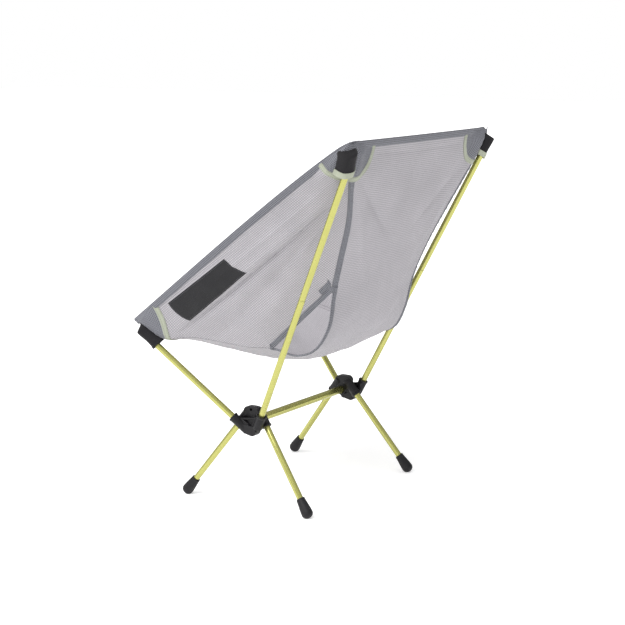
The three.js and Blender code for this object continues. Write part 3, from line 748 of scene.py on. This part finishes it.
def through(points, station):
    """The centripetal Catmull-Rom curve through points that lie one station apart."""
    station = np.clip(station, 0, len(points) - 1)
    first = np.minimum(station.astype(int), len(points) - 2)
    share = (station - first)[..., None]
    ends = np.concatenate([[2 * points[0] - points[1]], points, [2 * points[-1] - points[-2]]])
    p0, p1, p2, p3 = (ends[first + i] for i in range(4))
    d0, d1, d2 = (np.sqrt(np.linalg.norm(b - a, axis=-1, keepdims=True))
                  for a, b in ((p0, p1), (p1, p2), (p2, p3)))
    leave = ((p1 - p0) / d0 - (p2 - p0) / (d0 + d1) + (p2 - p1) / d1) * d1
    arrive = ((p2 - p1) / d1 - (p3 - p1) / (d1 + d2) + (p3 - p2) / d2) * d1
    square, cube = share ** 2, share ** 3
    return (p1 + leave * share + (3 * p2 - 3 * p1 - 2 * leave - arrive) * square
            + (2 * p1 - 2 * p2 + leave + arrive) * cube)


def edge_at(station):
    along = np.clip(station / STATIONS, 0, 1)[..., None]
    bow = np.sin(math.pi * along ** EDGE_BOW_SKEW)
    return TOP_CORNER + (FRONT_CORNER - TOP_CORNER) * along + EDGE_BOW * bow


def wing_root_at(station):
    """The wing's inner edge: along the seam, and straight across the hip opening."""
    opening = np.clip((station - HIP_FROM) / (HIP_TO - HIP_FROM), 0, 1)[..., None]
    ends = through(SEAM, np.array([HIP_FROM, HIP_TO]))
    straight = ends[0] + (ends[1] - ends[0]) * opening
    inside = ((station > HIP_FROM) & (station < HIP_TO))[..., None]
    return np.where(inside, straight, through(SEAM, station))


def seat_point(station, across):
    station, across = (np.array(a, float) for a in np.broadcast_arrays(station, across))
    reach = np.abs(across)[..., None]
    seam, middle = through(SEAM, station), through(MIDDLE, station)
    inner = middle + (seam - middle) * reach ** 2
    inner[..., 0] = seam[..., 0] * reach[..., 0]
    out = np.maximum(reach - 1, 0)
    root = wing_root_at(station)
    wing = root + (edge_at(station) - root) * out
    wing[..., 0] += WING_BULGE * np.sin(math.pi * out[..., 0])
    point = np.where(reach <= 1, inner, wing)
    point[..., 0] *= np.where(across < 0, -1, 1)
    return point


def seat_normal(station, across):
    """The direction out of the seat: towards the back, the floor or the side."""
    step = 0.02
    here = seat_point(station, across)
    along = seat_point(station + step, across) - seat_point(station - step, across)
    right = unit(seat_point(station, across + step) - here)
    left = unit(here - seat_point(station, across - step))
    return unit(np.cross(right + left, along))


def share(value, start, end):
    """0 before start, 1 after end, and a smooth rise between them."""
    t = np.clip((value - start) / (end - start), 0, 1)
    return t * t * (3 - 2 * t)


def wing_width(station):
    return np.linalg.norm(edge_at(station) - wing_root_at(station), axis=-1)


def wing_place(station, inset):
    """A place on the wing at a distance in from its free edge."""
    station = np.asarray(station, float)
    return station, 2 - inset / wing_width(station)


# Folds in the cloth, each with where it runs from and to, its half width on either side, its height
# outwards, and how sharp its crest is, from 0, round, to 1, sharp. The wing's folds give their ends
# as station and millimetres in from the free edge, and the back's give them as places on the seat.
WING_FOLDS = [
    ((1.5, 74), (10.6, 71), mm(3), mm(10), mm(-7), 0.8),
    ((1.3, 60), (10.4, 61), mm(11), mm(7), mm(3), 0.3),
    ((1.4, 42), (8.6, 41), mm(6), mm(9), mm(2.4), 0.6),
    ((2.0, 92), (9.8, 122), mm(18), mm(24), mm(-6.5), 0.2),
    ((1.9, 84), (5.6, 118), mm(6), mm(10), mm(3.4), 0.5),
    ((3.0, 108), (7.6, 150), mm(14), mm(16), mm(2.6), 0.2),
    ((7.0, 20), (11.0, 13), mm(5), mm(6), mm(-1.4), 0.6),
]
BACK_FOLDS = [
    ((0.9, 0.86), (2.6, 0.2), mm(9), mm(14), mm(-2.8), 0.3),
    ((1.0, 0.9), (3.8, 0.45), mm(8), mm(12), mm(2.2), 0.2),
    ((0.34, 0.72), (0.42, -0.1), mm(2.6), mm(5), mm(-2.0), 0.7),
    ((11.2, 0.85), (9.6, 0.2), mm(10), mm(14), mm(-1.8), 0.2),
    ((8.4, 0.92), (7.2, 0.1), mm(10), mm(14), mm(1.2), 0.2),
]
rng = np.random.default_rng(11)
RIPPLE_WAVES = rng.normal(size=(9, 3)) * (2 * math.pi / mm(70))
RIPPLE_PHASES = rng.uniform(0, 2 * math.pi, 9)


def fold_height(points, outwards, ends, before, after, height, sharp):
    """How far a fold between two points lifts each point."""
    first, last = ends
    run = last - first
    travelled = np.clip((points - first) @ run / (run @ run), 0, 1)
    away = points - first - travelled[..., None] * run
    away -= (away @ outwards)[..., None] * outwards
    side = np.sign(away @ np.cross(outwards, unit(run)))
    distance = np.linalg.norm(away, axis=-1) / np.where(side > 0, after, before)
    crest = (1 - sharp) * np.exp(-distance ** 2) + sharp * np.exp(-1.6 * distance)
    return height * crest * np.sin(math.pi * travelled) ** 0.6


def pole_tip(corner, side):
    """A seat pole's tip, and three axes: across the pole, up it and out of the seat."""
    facts = POCKETS[corner]
    start, along, length = tube_line(facts["pole"] + side)
    station, across = (np.array(value) for value in facts["under"])
    outwards = seat_normal(station, across * SIDES[side])
    outwards = unit(outwards - along * (outwards @ along))
    return start + along * (length + CAP_HEAD), np.stack([np.cross(outwards, along), along, outwards])


SIDES = {"left": 1, "right": -1}
LEFT_TIPS = [pole_tip(corner, "left") for corner in POCKETS]
PULL_GAP = POLE_RADIUS + mm(2.3)
PULL_LIMIT = mm(9)


def pole_pull(points):
    """How far the cloth is drawn out to the poles' tips, where the pockets are sewn on."""
    pull = np.zeros(points.shape[:-1])
    for tip, axes in LEFT_TIPS:
        sideways, height, out = np.moveaxis((points - tip) @ axes.T, -1, 0)
        near = ((1 - share(np.abs(sideways), mm(17), mm(46))) * share(height, -mm(80), -mm(34))
                * (1 - share(height, mm(6), mm(22))))
        pull += PULL_LIMIT * np.tanh(np.maximum(-out - PULL_GAP, 0) / PULL_LIMIT) * near
    return pull


def wrinkle(station, across):
    """How far the cloth lies outside the plain seat surface."""
    points = seat_point(station, np.abs(across))
    reach = np.abs(across) * np.ones_like(station)
    middle_wing = seat_normal(np.array(6.0), np.array(1.5))
    height = np.zeros(points.shape[:-1])
    for start, end, *shape in WING_FOLDS:
        ends = [seat_point(*wing_place(station_at, mm(inset))) for station_at, inset in (start, end)]
        height += np.where(reach > 1, fold_height(points, middle_wing, ends, *shape), 0)
    for start, end, *shape in BACK_FOLDS:
        ends = [seat_point(*np.array(spot, float)) for spot in (start, end)]
        outwards = seat_normal(np.array(start[0]), np.array(0.5))
        height += np.where(reach <= 1, fold_height(points, outwards, ends, *shape), 0)
    real = seat_point(station, across)
    ripple = np.sin(real @ RIPPLE_WAVES.T + RIPPLE_PHASES).mean(axis=-1)
    height += mm(1.6) * ripple
    near_seam = np.minimum(np.abs(reach - 1) * 4, 1)
    near_end = np.minimum(share(station, 0, 0.8), share(STATIONS - station, 0, 0.6))
    height *= share(near_seam, 0, 1) * share(2 - reach, 0.0, 0.12) * near_end
    inside = share(station, 0, 0.3) * share(STATIONS - station, 0, 0.3) * share(2 - reach, 0, 0.25)
    pucker = np.sin(station * 2 * math.pi / 0.13) + 0.6 * np.sin(station * 2 * math.pi / 0.21 + 1)
    pucker *= np.exp(-np.abs(reach - 1) / 0.05) * share(reach, 0.8, 0.95)
    return height + pole_pull(points) * inside + mm(0.22) * pucker


def on_cloth(station, across, height=0.0):
    """A point at a height outside the cloth, folds and all."""
    station, across = (np.array(a, float) for a in np.broadcast_arrays(station, across))
    lift = wrinkle(station, across) + height
    return seat_point(station, across) + seat_normal(station, across) * np.asarray(lift)[..., None]


TOP_STEP = float(np.linalg.norm(SEAM[1] - SEAM[0]))
FRONT_STEP = float(np.linalg.norm(SEAM[-1] - SEAM[-2]))
EDGE_STEP = float(np.linalg.norm(FRONT_CORNER - TOP_CORNER)) / STATIONS


def grid(rows, columns):
    """Two numbers from 0 to 1 for each point of a grid."""
    return np.meshgrid(np.linspace(0, 1, rows + 1), np.linspace(0, 1, columns + 1), indexing="ij")


# ---- Seat panels ----

PANEL_SETBACK = mm(2.5)
SEAM_GAP = mm(0.4)


def center_panel():
    a, b = grid(340, 150)
    seam = through(SEAM, np.zeros(1))[0][0]
    across = (2 * b - 1) * (1 - SEAM_GAP / seam)
    corner = share(np.abs(across), 0.9, 1)
    start = (PANEL_SETBACK + mm(12) * corner) / TOP_STEP
    end = STATIONS - (PANEL_SETBACK + mm(4) * corner) / FRONT_STEP
    station = start + (end - start) * a
    cloth("seat_center_panel_cloth", "seat_center_panel", on_cloth(station, across), CLOTH, LIGHT,
          held="hung", rests_on=["back_pole_upper_left", "back_pole_upper_right",
                                 "front_pole_left", "front_pole_right"])


def side_panel(side):
    a, b = grid(300, 110)
    station = 0.26 + (STATIONS - 0.4) * a
    width = wing_width(station)
    first = SEAM_GAP / width
    last = 1 - PANEL_SETBACK / width
    across = 1 + first + (np.maximum(last, first + 0.02) - first) * b
    points = on_cloth(station, across * SIDES[side])
    slope = unit(FRONT_CORNER - TOP_CORNER) * [SIDES[side], 1, 1]
    up = unit(np.cross(seat_normal(np.array(6.0), np.array(1.5 * SIDES[side])), slope))
    uv = np.stack([points @ slope, points @ up], -1)
    cloth(f"side_panel_{side}_cloth", f"side_panel_{side}", points, CLOTH, LIGHT, uv=uv,
          held="hung", rests_on=[f"back_pole_upper_{side}", f"front_pole_{side}"])


def binding_section(width, columns=10, bend=8):
    """A tape folded over an edge, as rows of distance in from the edge and height outside it."""
    radius = BINDING_RADIUS
    flange = np.linspace(width, radius, columns)
    inner_height = CLOTH / 2 + TAPE / 2
    rise = inner_height + (radius - inner_height) * share(width - flange, 0, mm(3))
    angle = np.linspace(math.pi / 2, -math.pi / 2, bend + 2)[1:-1]
    fold = np.stack([radius - radius * np.cos(angle), radius * np.sin(angle)], -1)
    outside = np.stack([flange, rise], -1)
    inside = np.stack([flange[::-1], -rise[::-1]], -1)
    return np.concatenate([outside, fold, inside])


CROSS_POINTS = 60
SIDE_POINTS = 220


def outline():
    """The seat's edge on the left, from the middle of the top to the middle of the front, with its
    corners rounded: a line of points, and the direction out of the seat at each."""
    def leg(station, across):
        return seat_point(station, across), seat_normal(station, across)

    seam_top, seam_front = SEAM[0][0], SEAM[-1][0]
    back, forward = CORNER_ROUNDING["back"], CORNER_ROUNDING["front"]
    top = leg(np.zeros(CROSS_POINTS), np.linspace(0, 1 - back / seam_top, CROSS_POINTS))
    stations = np.linspace(back / EDGE_STEP, STATIONS - forward / EDGE_STEP, SIDE_POINTS)
    side = leg(stations, np.full(SIDE_POINTS, 2.0))
    front = leg(np.full(CROSS_POINTS, float(STATIONS)),
                np.linspace(1 - forward / seam_front, 0, CROSS_POINTS))
    points, normals = [top[0]], [top[1]]
    for corner, (line, facing) in ((TOP_CORNER, side), (FRONT_CORNER, front)):
        t = np.linspace(0, 1, 16)[1:-1, None]
        bend = (1 - t) ** 2 * points[-1][-1] + 2 * t * (1 - t) * corner + t ** 2 * line[0]
        points += [bend, line]
        normals += [unit((1 - t) * normals[-1][-1] + t * facing[0]), facing]
    return np.concatenate(points), np.concatenate(normals)


OUTLINE_POINTS, OUTLINE_NORMALS = outline()


def strip_along(points, normals, section):
    """A strip that follows a line, with its section's rows of (inwards, outwards) at each point."""
    along = unit(np.gradient(points, axis=0))
    normals = unit(normals - along * (normals * along).sum(-1, keepdims=True))
    inwards = np.cross(normals, along)
    travelled = lengths_along(points)
    pucker = mm(0.18) * np.sin(travelled * 2 * math.pi / mm(9)) * np.sin(travelled * 2 * math.pi / mm(37))
    height = section[None, :, 1:2] + pucker[:, None, None]
    return points[:, None] + inwards[:, None] * section[None, :, 0:1] + normals[:, None] * height


def bindings():
    """The folded tape round the seat's edge, in four lengths that meet at the patches."""
    section = binding_section(BINDING_WIDTH)
    top_end, front_start = CROSS_POINTS - 1, len(OUTLINE_POINTS) - CROSS_POINTS
    mirror = np.array([-1, 1, 1])
    for name, half, onwards in (("top_binding", slice(top_end, None, -1), -1),
                                ("front_binding", slice(front_start, None), 1)):
        line, facing = (np.concatenate([rows[half], (rows[half] * mirror)[::-1][1:]])[::onwards]
                        for rows in (OUTLINE_POINTS, OUTLINE_NORMALS))
        cloth(f"{name}_tape", name, strip_along(line, facing, section), TAPE, DARK, held="folded")
    part = slice(top_end, front_start + 1)
    for side, sign in SIDES.items():
        strip = strip_along(OUTLINE_POINTS[part], OUTLINE_NORMALS[part], section)
        if sign < 0:
            strip = (strip * mirror)[::-1]
        cloth(f"side_binding_{side}_tape", f"side_binding_{side}", strip, TAPE, DARK, held="folded")


def across_at(station, distance):
    """How far across a place lies that is a distance outside the seam, or inside it if negative."""
    inner = distance / through(SEAM, station)[..., 0]
    outer = distance / wing_width(station)
    return 1 + np.where(distance < 0, inner, outer)


ON_PANEL = CLOTH / 2 + TAPE / 2
ON_PATCH = ON_PANEL + mm(0.3)


def seam_tape(side):
    """The tape over the seam on the outside, and the felled seam on the inside."""
    sign = SIDES[side]
    a, b = grid(150, 10)
    station = SEAM_TAPE_START + (HIP_FROM + 0.12 - SEAM_TAPE_START) * a
    across = across_at(station, (b - 0.5) * TAPE_WIDTH) * sign
    cloth(f"seam_tape_{side}_strip", f"seam_tape_{side}", on_cloth(station, across, ON_PANEL), TAPE,
          DARK)
    for name, first, last in (("upper", 0.3, HIP_FROM), ("lower", HIP_TO, STATIONS - 0.25)):
        station = first + (last - first) * a
        across = across_at(station, (b - 0.5) * FELL_WIDTH) * sign
        cloth(f"seam_fell_{name}_{side}", None, on_cloth(station, across, -ON_PANEL), TAPE, LIGHT,
              sewn_to="seat_center_panel_cloth")


def hip_opening(side):
    """The bound edge of the wing across the hip opening, the hem of the centre panel that faces it,
    and the small folded tab over its upper end."""
    mirror = np.array([SIDES[side], 1, 1])
    station = np.linspace(HIP_FROM - 0.1, HIP_TO + 0.1, 90)
    flip = slice(None, None, SIDES[side])
    for name, node, across, width in (
            ("hip_binding", f"hip_binding_{side}", 1.0001, HIP_BINDING_WIDTH),
            ("hip_hem", None, 0.9999, HIP_HEM_WIDTH)):
        onwards = across < 1
        line = seat_point(station, across)
        facing = seat_normal(station, 0.9 if onwards else 1.12)
        run = slice(None, None, 1 if onwards else -1)
        strip = strip_along(line[run], facing[run], binding_section(width))
        cloth(f"{name}_{side}_tape", node, (strip * mirror)[flip], TAPE, DARK, held="folded")
    a, b = grid(24, 16)
    station = HIP_TAB_START + HIP_TAB_STATIONS * a
    across = across_at(station, HIP_BINDING_WIDTH + TAPE + HIP_TAB_WIDTH * b) * SIDES[side]
    rise = ON_PANEL + mm(2.2) * np.sin(math.pi * b) ** 2 * share(a, 0.1, 0.9)
    cloth(f"hip_tab_{side}_fold", f"hip_tab_{side}", on_cloth(station, across, rise), TAPE, DARK,
          held="folded")


def corner_place(corner, distance, turn):
    """A place at a distance from a corner of the seat, at a turn from 0 on the cross edge, past 1 on
    the seam, to 2 on the wing's edge, kept just inside the binding's fold."""
    back = corner == "back"
    step, origin, sign = (TOP_STEP, 0, 1) if back else (FRONT_STEP, STATIONS, -1)
    half_width = SEAM[0][0] if back else SEAM[-1][0]
    angle = np.minimum(turn, 1) * math.pi / 2
    spread = CORNER_ANGLE[corner]
    bend = np.maximum(turn - 1, 0) * spread
    along_seam = distance * np.sin(spread - bend) / math.sin(spread) / step
    along_edge = distance * np.sin(bend) / math.sin(spread) / EDGE_STEP
    steps = along_seam + along_edge
    on_wing = turn > 1
    inset = np.where(on_wing, steps, np.maximum(distance * np.sin(angle), PANEL_SETBACK) / step)
    station = origin + sign * inset
    limit = 2 - PANEL_SETBACK / wing_width(station)
    across = np.where(on_wing, np.minimum(1 + along_edge / steps, limit),
                      1 - distance * np.cos(angle) / half_width)
    return station, across


def corner_ring(corner, side, first, last, rings, height):
    a, b = grid(rings, 90)
    station, across = corner_place(corner, first + (last - first) * a, 2 * b)
    return on_cloth(station, across * SIDES[side], height)


def corner_patch(corner, side):
    """A second layer of cloth over a corner, and the pale curved tape that edges it."""
    outer = PATCH_RADIUS[corner]
    inner = outer - TRIM_WIDTH
    patch = f"corner_patch_{corner}_{side}"
    trim = f"corner_trim_{corner}_{side}"
    cloth(f"{patch}_cloth", patch,
          corner_ring(corner, side, PATCH_START, inner + mm(1), 30, ON_PANEL), TAPE, DARK)
    cloth(f"{trim}_tape", trim, corner_ring(corner, side, inner, outer, 8, ON_PATCH), mm(1.1), PALE,
          sewn_to=f"{patch}_cloth")


# ---- Pockets and label ----
# A pocket is a hump of cloth sewn to the patch round a pole's tip. Its own frame has the tip as its
# origin, with one axis up the pole, one out of the seat and one across.

def hump(corner, side, top, bottom, margin):
    """The cloth of a pocket between two heights along its pole, as a grid of points."""
    facts = POCKETS[corner]
    tip, axes = pole_tip(corner, side)
    k, u = np.meshgrid(np.linspace(*facts["stations"], 90), np.linspace(0.7, 1.9, 110), indexing="ij")
    surface = (on_cloth(k, u * SIDES[side]).reshape(-1, 3) - tip) @ axes.T
    a, b = grid(44, 40)
    height = top + (bottom - top) * a
    down = np.clip(-height / facts["below"], 0, 1)
    narrow, wide = facts["widths"]
    closed = share(facts["above"] - height, 0, facts["closing"])
    sideways = (2 * b - 1) * (narrow * (0.7 + 0.3 * closed) + (wide - narrow) * down + margin)
    sideways += facts["lean"] * SIDES[side] * (1 - down)
    height = height + facts["tilt"] * SIDES[side] * sideways
    base = np.empty_like(height)
    for row in range(height.shape[0]):
        spots = np.stack([sideways[row], height[row]], -1)
        gaps = ((spots[:, None] - surface[None, :, :2]) ** 2).sum(-1)
        weights = 1 / (gaps + mm(1.2) ** 2) ** 4
        base[row] = (weights * surface[:, 2]).sum(1) / weights.sum(1)
    crest = POLE_RADIUS + POCKET_CLEARANCE + margin
    lift = (1 - np.abs(2 * b - 1) ** 3.2) * closed
    out = base + ON_PATCH + (crest - base) * lift
    out += mm(0.5) * np.sin(height / mm(7) + 3 * b) * np.sin(math.pi * b) * closed
    return tip + np.stack([sideways, height, out], -1) @ axes


def pocket(corner, side):
    facts = POCKETS[corner]
    below, mouth = facts["below"], facts["mouth"]
    name = f"pocket_{corner}_{side}"
    body = hump(corner, side, facts["above"], -below, 0)
    cloth(f"{name}_cloth", name, body[::-1], mm(0.9), BLACK, held="folded")
    rim = hump(corner, side, -below + mm(0.5), -below - mouth, mm(0.7))
    mouth_name = f"pocket_mouth_{corner}_{side}"
    cloth(f"{mouth_name}_tape", mouth_name, rim[::-1], mm(1.5), PALE if corner == "back" else BLACK,
          sewn_to=f"{name}_cloth")


def label_place(a, b):
    """A place on the label for two numbers from 0 to 1, along it and down it."""
    upper_front, upper_back, lower_front, lower_back = LABEL_CORNERS
    upper = upper_front + (upper_back - upper_front) * a[..., None]
    lower = lower_front + (lower_back - lower_front) * a[..., None]
    spot = upper + (lower - upper) * b[..., None]
    return wing_place(spot[..., 0] + LABEL_BOW * np.sin(math.pi * b), mm(spot[..., 1]))


def label():
    """The label on the left wing, left blank."""
    a, b = grid(120, 40)
    cloth("side_label_satin", "side_label", on_cloth(*label_place(a, b), ON_PANEL), mm(0.5), LABEL)


# ---- Stitching ----

STITCH_PITCH = mm(3.2)
STITCH_LENGTH = mm(2.5)
STITCH_RADIUS = mm(0.26)
STITCH_RINGS = ((-0.82, 0.7), (-0.35, 1.0), (0.35, 1.0), (0.82, 0.7))
STITCH_SIDES = 6
TRIM_STITCH_INSETS = (mm(6.4), mm(1.6))


def stitch_shape():
    """One stitch along X: a short thread that dips at both ends, as points and faces."""
    half = STITCH_LENGTH / 2
    points = [(-half, 0, -STITCH_RADIUS)]
    for spot, size in STITCH_RINGS:
        for angle in np.linspace(0, 2 * math.pi, STITCH_SIDES, endpoint=False):
            points.append((spot * half, size * STITCH_RADIUS * math.cos(angle),
                           size * STITCH_RADIUS * math.sin(angle) + STITCH_RADIUS * (0.3 - spot * spot)))
    points.append((half, 0, -STITCH_RADIUS))
    last = len(points) - 1
    faces = grid_quads(len(STITCH_RINGS) - 1, STITCH_SIDES, start=1, wrap=True).tolist()
    end = last - STITCH_SIDES
    for side in range(STITCH_SIDES):
        after = (side + 1) % STITCH_SIDES
        faces.append([0, 1 + after, 1 + side])
        faces.append([last, end + side, end + after])
    return np.array(points), faces


def stitches(name, rows, material):
    """Rows of stitches, each row along a line of points with the direction out of the cloth."""
    shape, shape_faces = stitch_shape()
    points, faces = [], []
    for line, facing in rows:
        travelled = lengths_along(line)
        spots = np.arange(STITCH_PITCH / 2, travelled[-1], STITCH_PITCH)
        centre, ahead, behind, out = (
            np.stack([np.interp(spots + shift, travelled, values[:, i]) for i in range(3)], -1)
            for values, shift in ((line, 0), (line, mm(0.5)), (line, -mm(0.5)), (facing, 0)))
        along = unit(ahead - behind)
        out = unit(out - along * (out * along).sum(-1, keepdims=True))
        sideways = np.cross(out, along)
        made = (centre[:, None] + shape[:, 0:1] * along[:, None] + shape[:, 1:2] * sideways[:, None]
                + shape[:, 2:3] * out[:, None])
        for stitch in made:
            first = len(points) * len(shape)
            faces.extend([[first + corner for corner in face] for face in shape_faces])
            points.append(stitch)
    return make_object(name, np.concatenate(points), faces, material, "seat")


def cloth_row(station, across, height):
    """A row for stitches at a height over the cloth, negative on the inside."""
    facing = seat_normal(station, across) * math.copysign(1, height)
    return on_cloth(station, across, height), facing


def edge_rows(inset, height):
    """Rows along the bindings on the left half, outside and inside, at a distance from the edge."""
    section = np.array([[inset, height], [inset, -height]])
    strip = strip_along(OUTLINE_POINTS, OUTLINE_NORMALS, section)
    return [(strip[:, 0], OUTLINE_NORMALS), (strip[:, 1], -OUTLINE_NORMALS)]


def all_stitches():
    face = CLOTH / 2 + TAPE
    for side, sign in SIDES.items():
        mirror = np.array([sign, 1, 1])
        grey = [(line * mirror, facing * mirror)
                for line, facing in edge_rows(BINDING_WIDTH - mm(1.8), face)]
        station = np.linspace(SEAM_TAPE_START + 0.15, HIP_FROM + 0.1, 400)
        for distance in (mm(2) - TAPE_WIDTH / 2, TAPE_WIDTH / 2 - mm(2)):
            grey.append(cloth_row(station, across_at(station, distance) * sign, face))
        for first, last in ((0.3, HIP_FROM), (HIP_TO, STATIONS - 0.3)):
            station = np.linspace(first, last, 400)
            grey.append(cloth_row(station, across_at(station, mm(2.4)) * sign, -face))
        turn = np.linspace(0.04, 1.96, 160)
        for corner in POCKETS:
            for inset in TRIM_STITCH_INSETS:
                station, across = corner_place(corner, np.full(160, PATCH_RADIUS[corner] - inset), turn)
                grey.append(cloth_row(station, across * sign, ON_PATCH + mm(0.5)))
        panel = SHEETS[f"side_panel_{side}_cloth"]["with_pieces"]
        panel.append(stitches(f"stitching_{side}", grey, GREY_THREAD))
    a = np.linspace(0.012, 0.988, 200)
    border = []
    for b in (0.05, 0.95):
        border.append(cloth_row(*label_place(a, np.full(200, b)), ON_PANEL + mm(0.2)))
    for end in (0.014, 0.986):
        border.append(cloth_row(*label_place(np.full(60, end), np.linspace(0.06, 0.94, 60)),
                                ON_PANEL + mm(0.2)))
    SHEETS["side_label_satin"]["with_pieces"].append(stitches("label_stitching", border, GREY_THREAD))


# ---- Camera, lights and floor ----

def look_at(thing, place, target):
    thing.location = place
    thing.rotation_euler = (Vector(target) - Vector(place)).to_track_quat("-Z", "Y").to_euler()


def set_camera():
    data = bpy.data.cameras.new("camera")
    camera = add_object("camera", data)
    data.sensor_width = 36
    data.lens = 88.17
    azimuth, elevation, distance = math.radians(123.91), math.radians(10.475), 2.7314
    target = np.array([-0.0025, -0.0101, 0.3178])
    back = np.array([math.sin(azimuth) * math.cos(elevation),
                     -math.cos(azimuth) * math.cos(elevation), math.sin(elevation)])
    look_at(camera, target + back * distance, target)
    bpy.context.scene.camera = camera


LAMP = np.array([1.5, -0.3, 1.9])
# The tent's brightness: from and to this much towards the lamp, it goes from this to this.
TENT_FALLOFF = (-0.7, 0.75, 0.22, 0.85)


def studio():
    """A soft white tent with a broad lamp over the camera's left shoulder, and a pale floor."""
    world = bpy.data.worlds.new("studio")
    bpy.context.scene.world = world
    world.use_nodes = True
    tree = world.node_tree
    background = next(n for n in tree.nodes if n.type == "BACKGROUND")
    output = next(n for n in tree.nodes if n.type == "OUTPUT_WORLD")
    place_round = add_node(tree, "TexCoord").outputs["Generated"]
    towards_lamp = add_node(tree, "VectorMath", {0: place_round, 1: unit(LAMP)},
                            operation="DOT_PRODUCT")
    falloff = add_node(tree, "MapRange", {0: towards_lamp.outputs["Value"],
                                          **dict(enumerate(TENT_FALLOFF, start=1))})
    tree.links.new(falloff.outputs[0], background.inputs["Strength"])
    background.inputs["Color"].default_value = (1, 1, 1, 1)
    backdrop = add_node(tree, "Background", {"Strength": 1.0, "Color": (1, 1, 1, 1)})
    seen = add_node(tree, "LightPath").outputs["Is Camera Ray"]
    chooser = add_node(tree, "MixShader", {0: seen, 1: background.outputs[0], 2: backdrop.outputs[0]})
    tree.links.new(chooser.outputs[0], output.inputs[0])

    data = bpy.data.lights.new("key", "SUN")
    data.energy = 2.2
    data.angle = math.radians(35)
    lamp = add_object("key", data)
    look_at(lamp, LAMP, (0, 0, 0))
    bpy.context.scene.view_settings.view_transform = "Standard"

    floor_paint = Material("studio_floor", "none", Roughness=0.9, Specular_IOR_Level=0.1,
                           Emission_Color=(1, 1, 1, 1), Emission_Strength=0.42)
    tint = floor_paint.remap(floor_paint.noise(floor_paint.object_place(), 2.0), 0, 1)
    floor_paint.set("Base Color", floor_paint.mix(tint, (0.9, 0.9, 0.9, 1), (0.92, 0.92, 0.92, 1)))
    mesh = bpy.data.meshes.new("floor")
    reach = 14
    mesh.from_pydata([(-reach, -reach, 0), (reach, -reach, 0), (reach, reach, 0), (-reach, reach, 0)],
                     [], [(0, 1, 2, 3)])
    mesh.materials.append(floor_paint.shader)
    floor = add_object("floor", mesh)
    floor.location.z = -0.0004
    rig.stage(floor)


set_camera()
studio()
build_frame()
center_panel()
bindings()
for seat_side in SIDES:
    side_panel(seat_side)
    seam_tape(seat_side)
    hip_opening(seat_side)
    for seat_corner in POCKETS:
        corner_patch(seat_corner, seat_side)
        pocket(seat_corner, seat_side)
label()
all_stitches()
for sheet in SHEETS.values():
    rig.sheet(**sheet)

with open("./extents.json", "w") as sizes:
    boxes = [[list(corner) for corner in box] for box in (cad_box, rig.bounds())]
    json.dump(boxes, sizes)
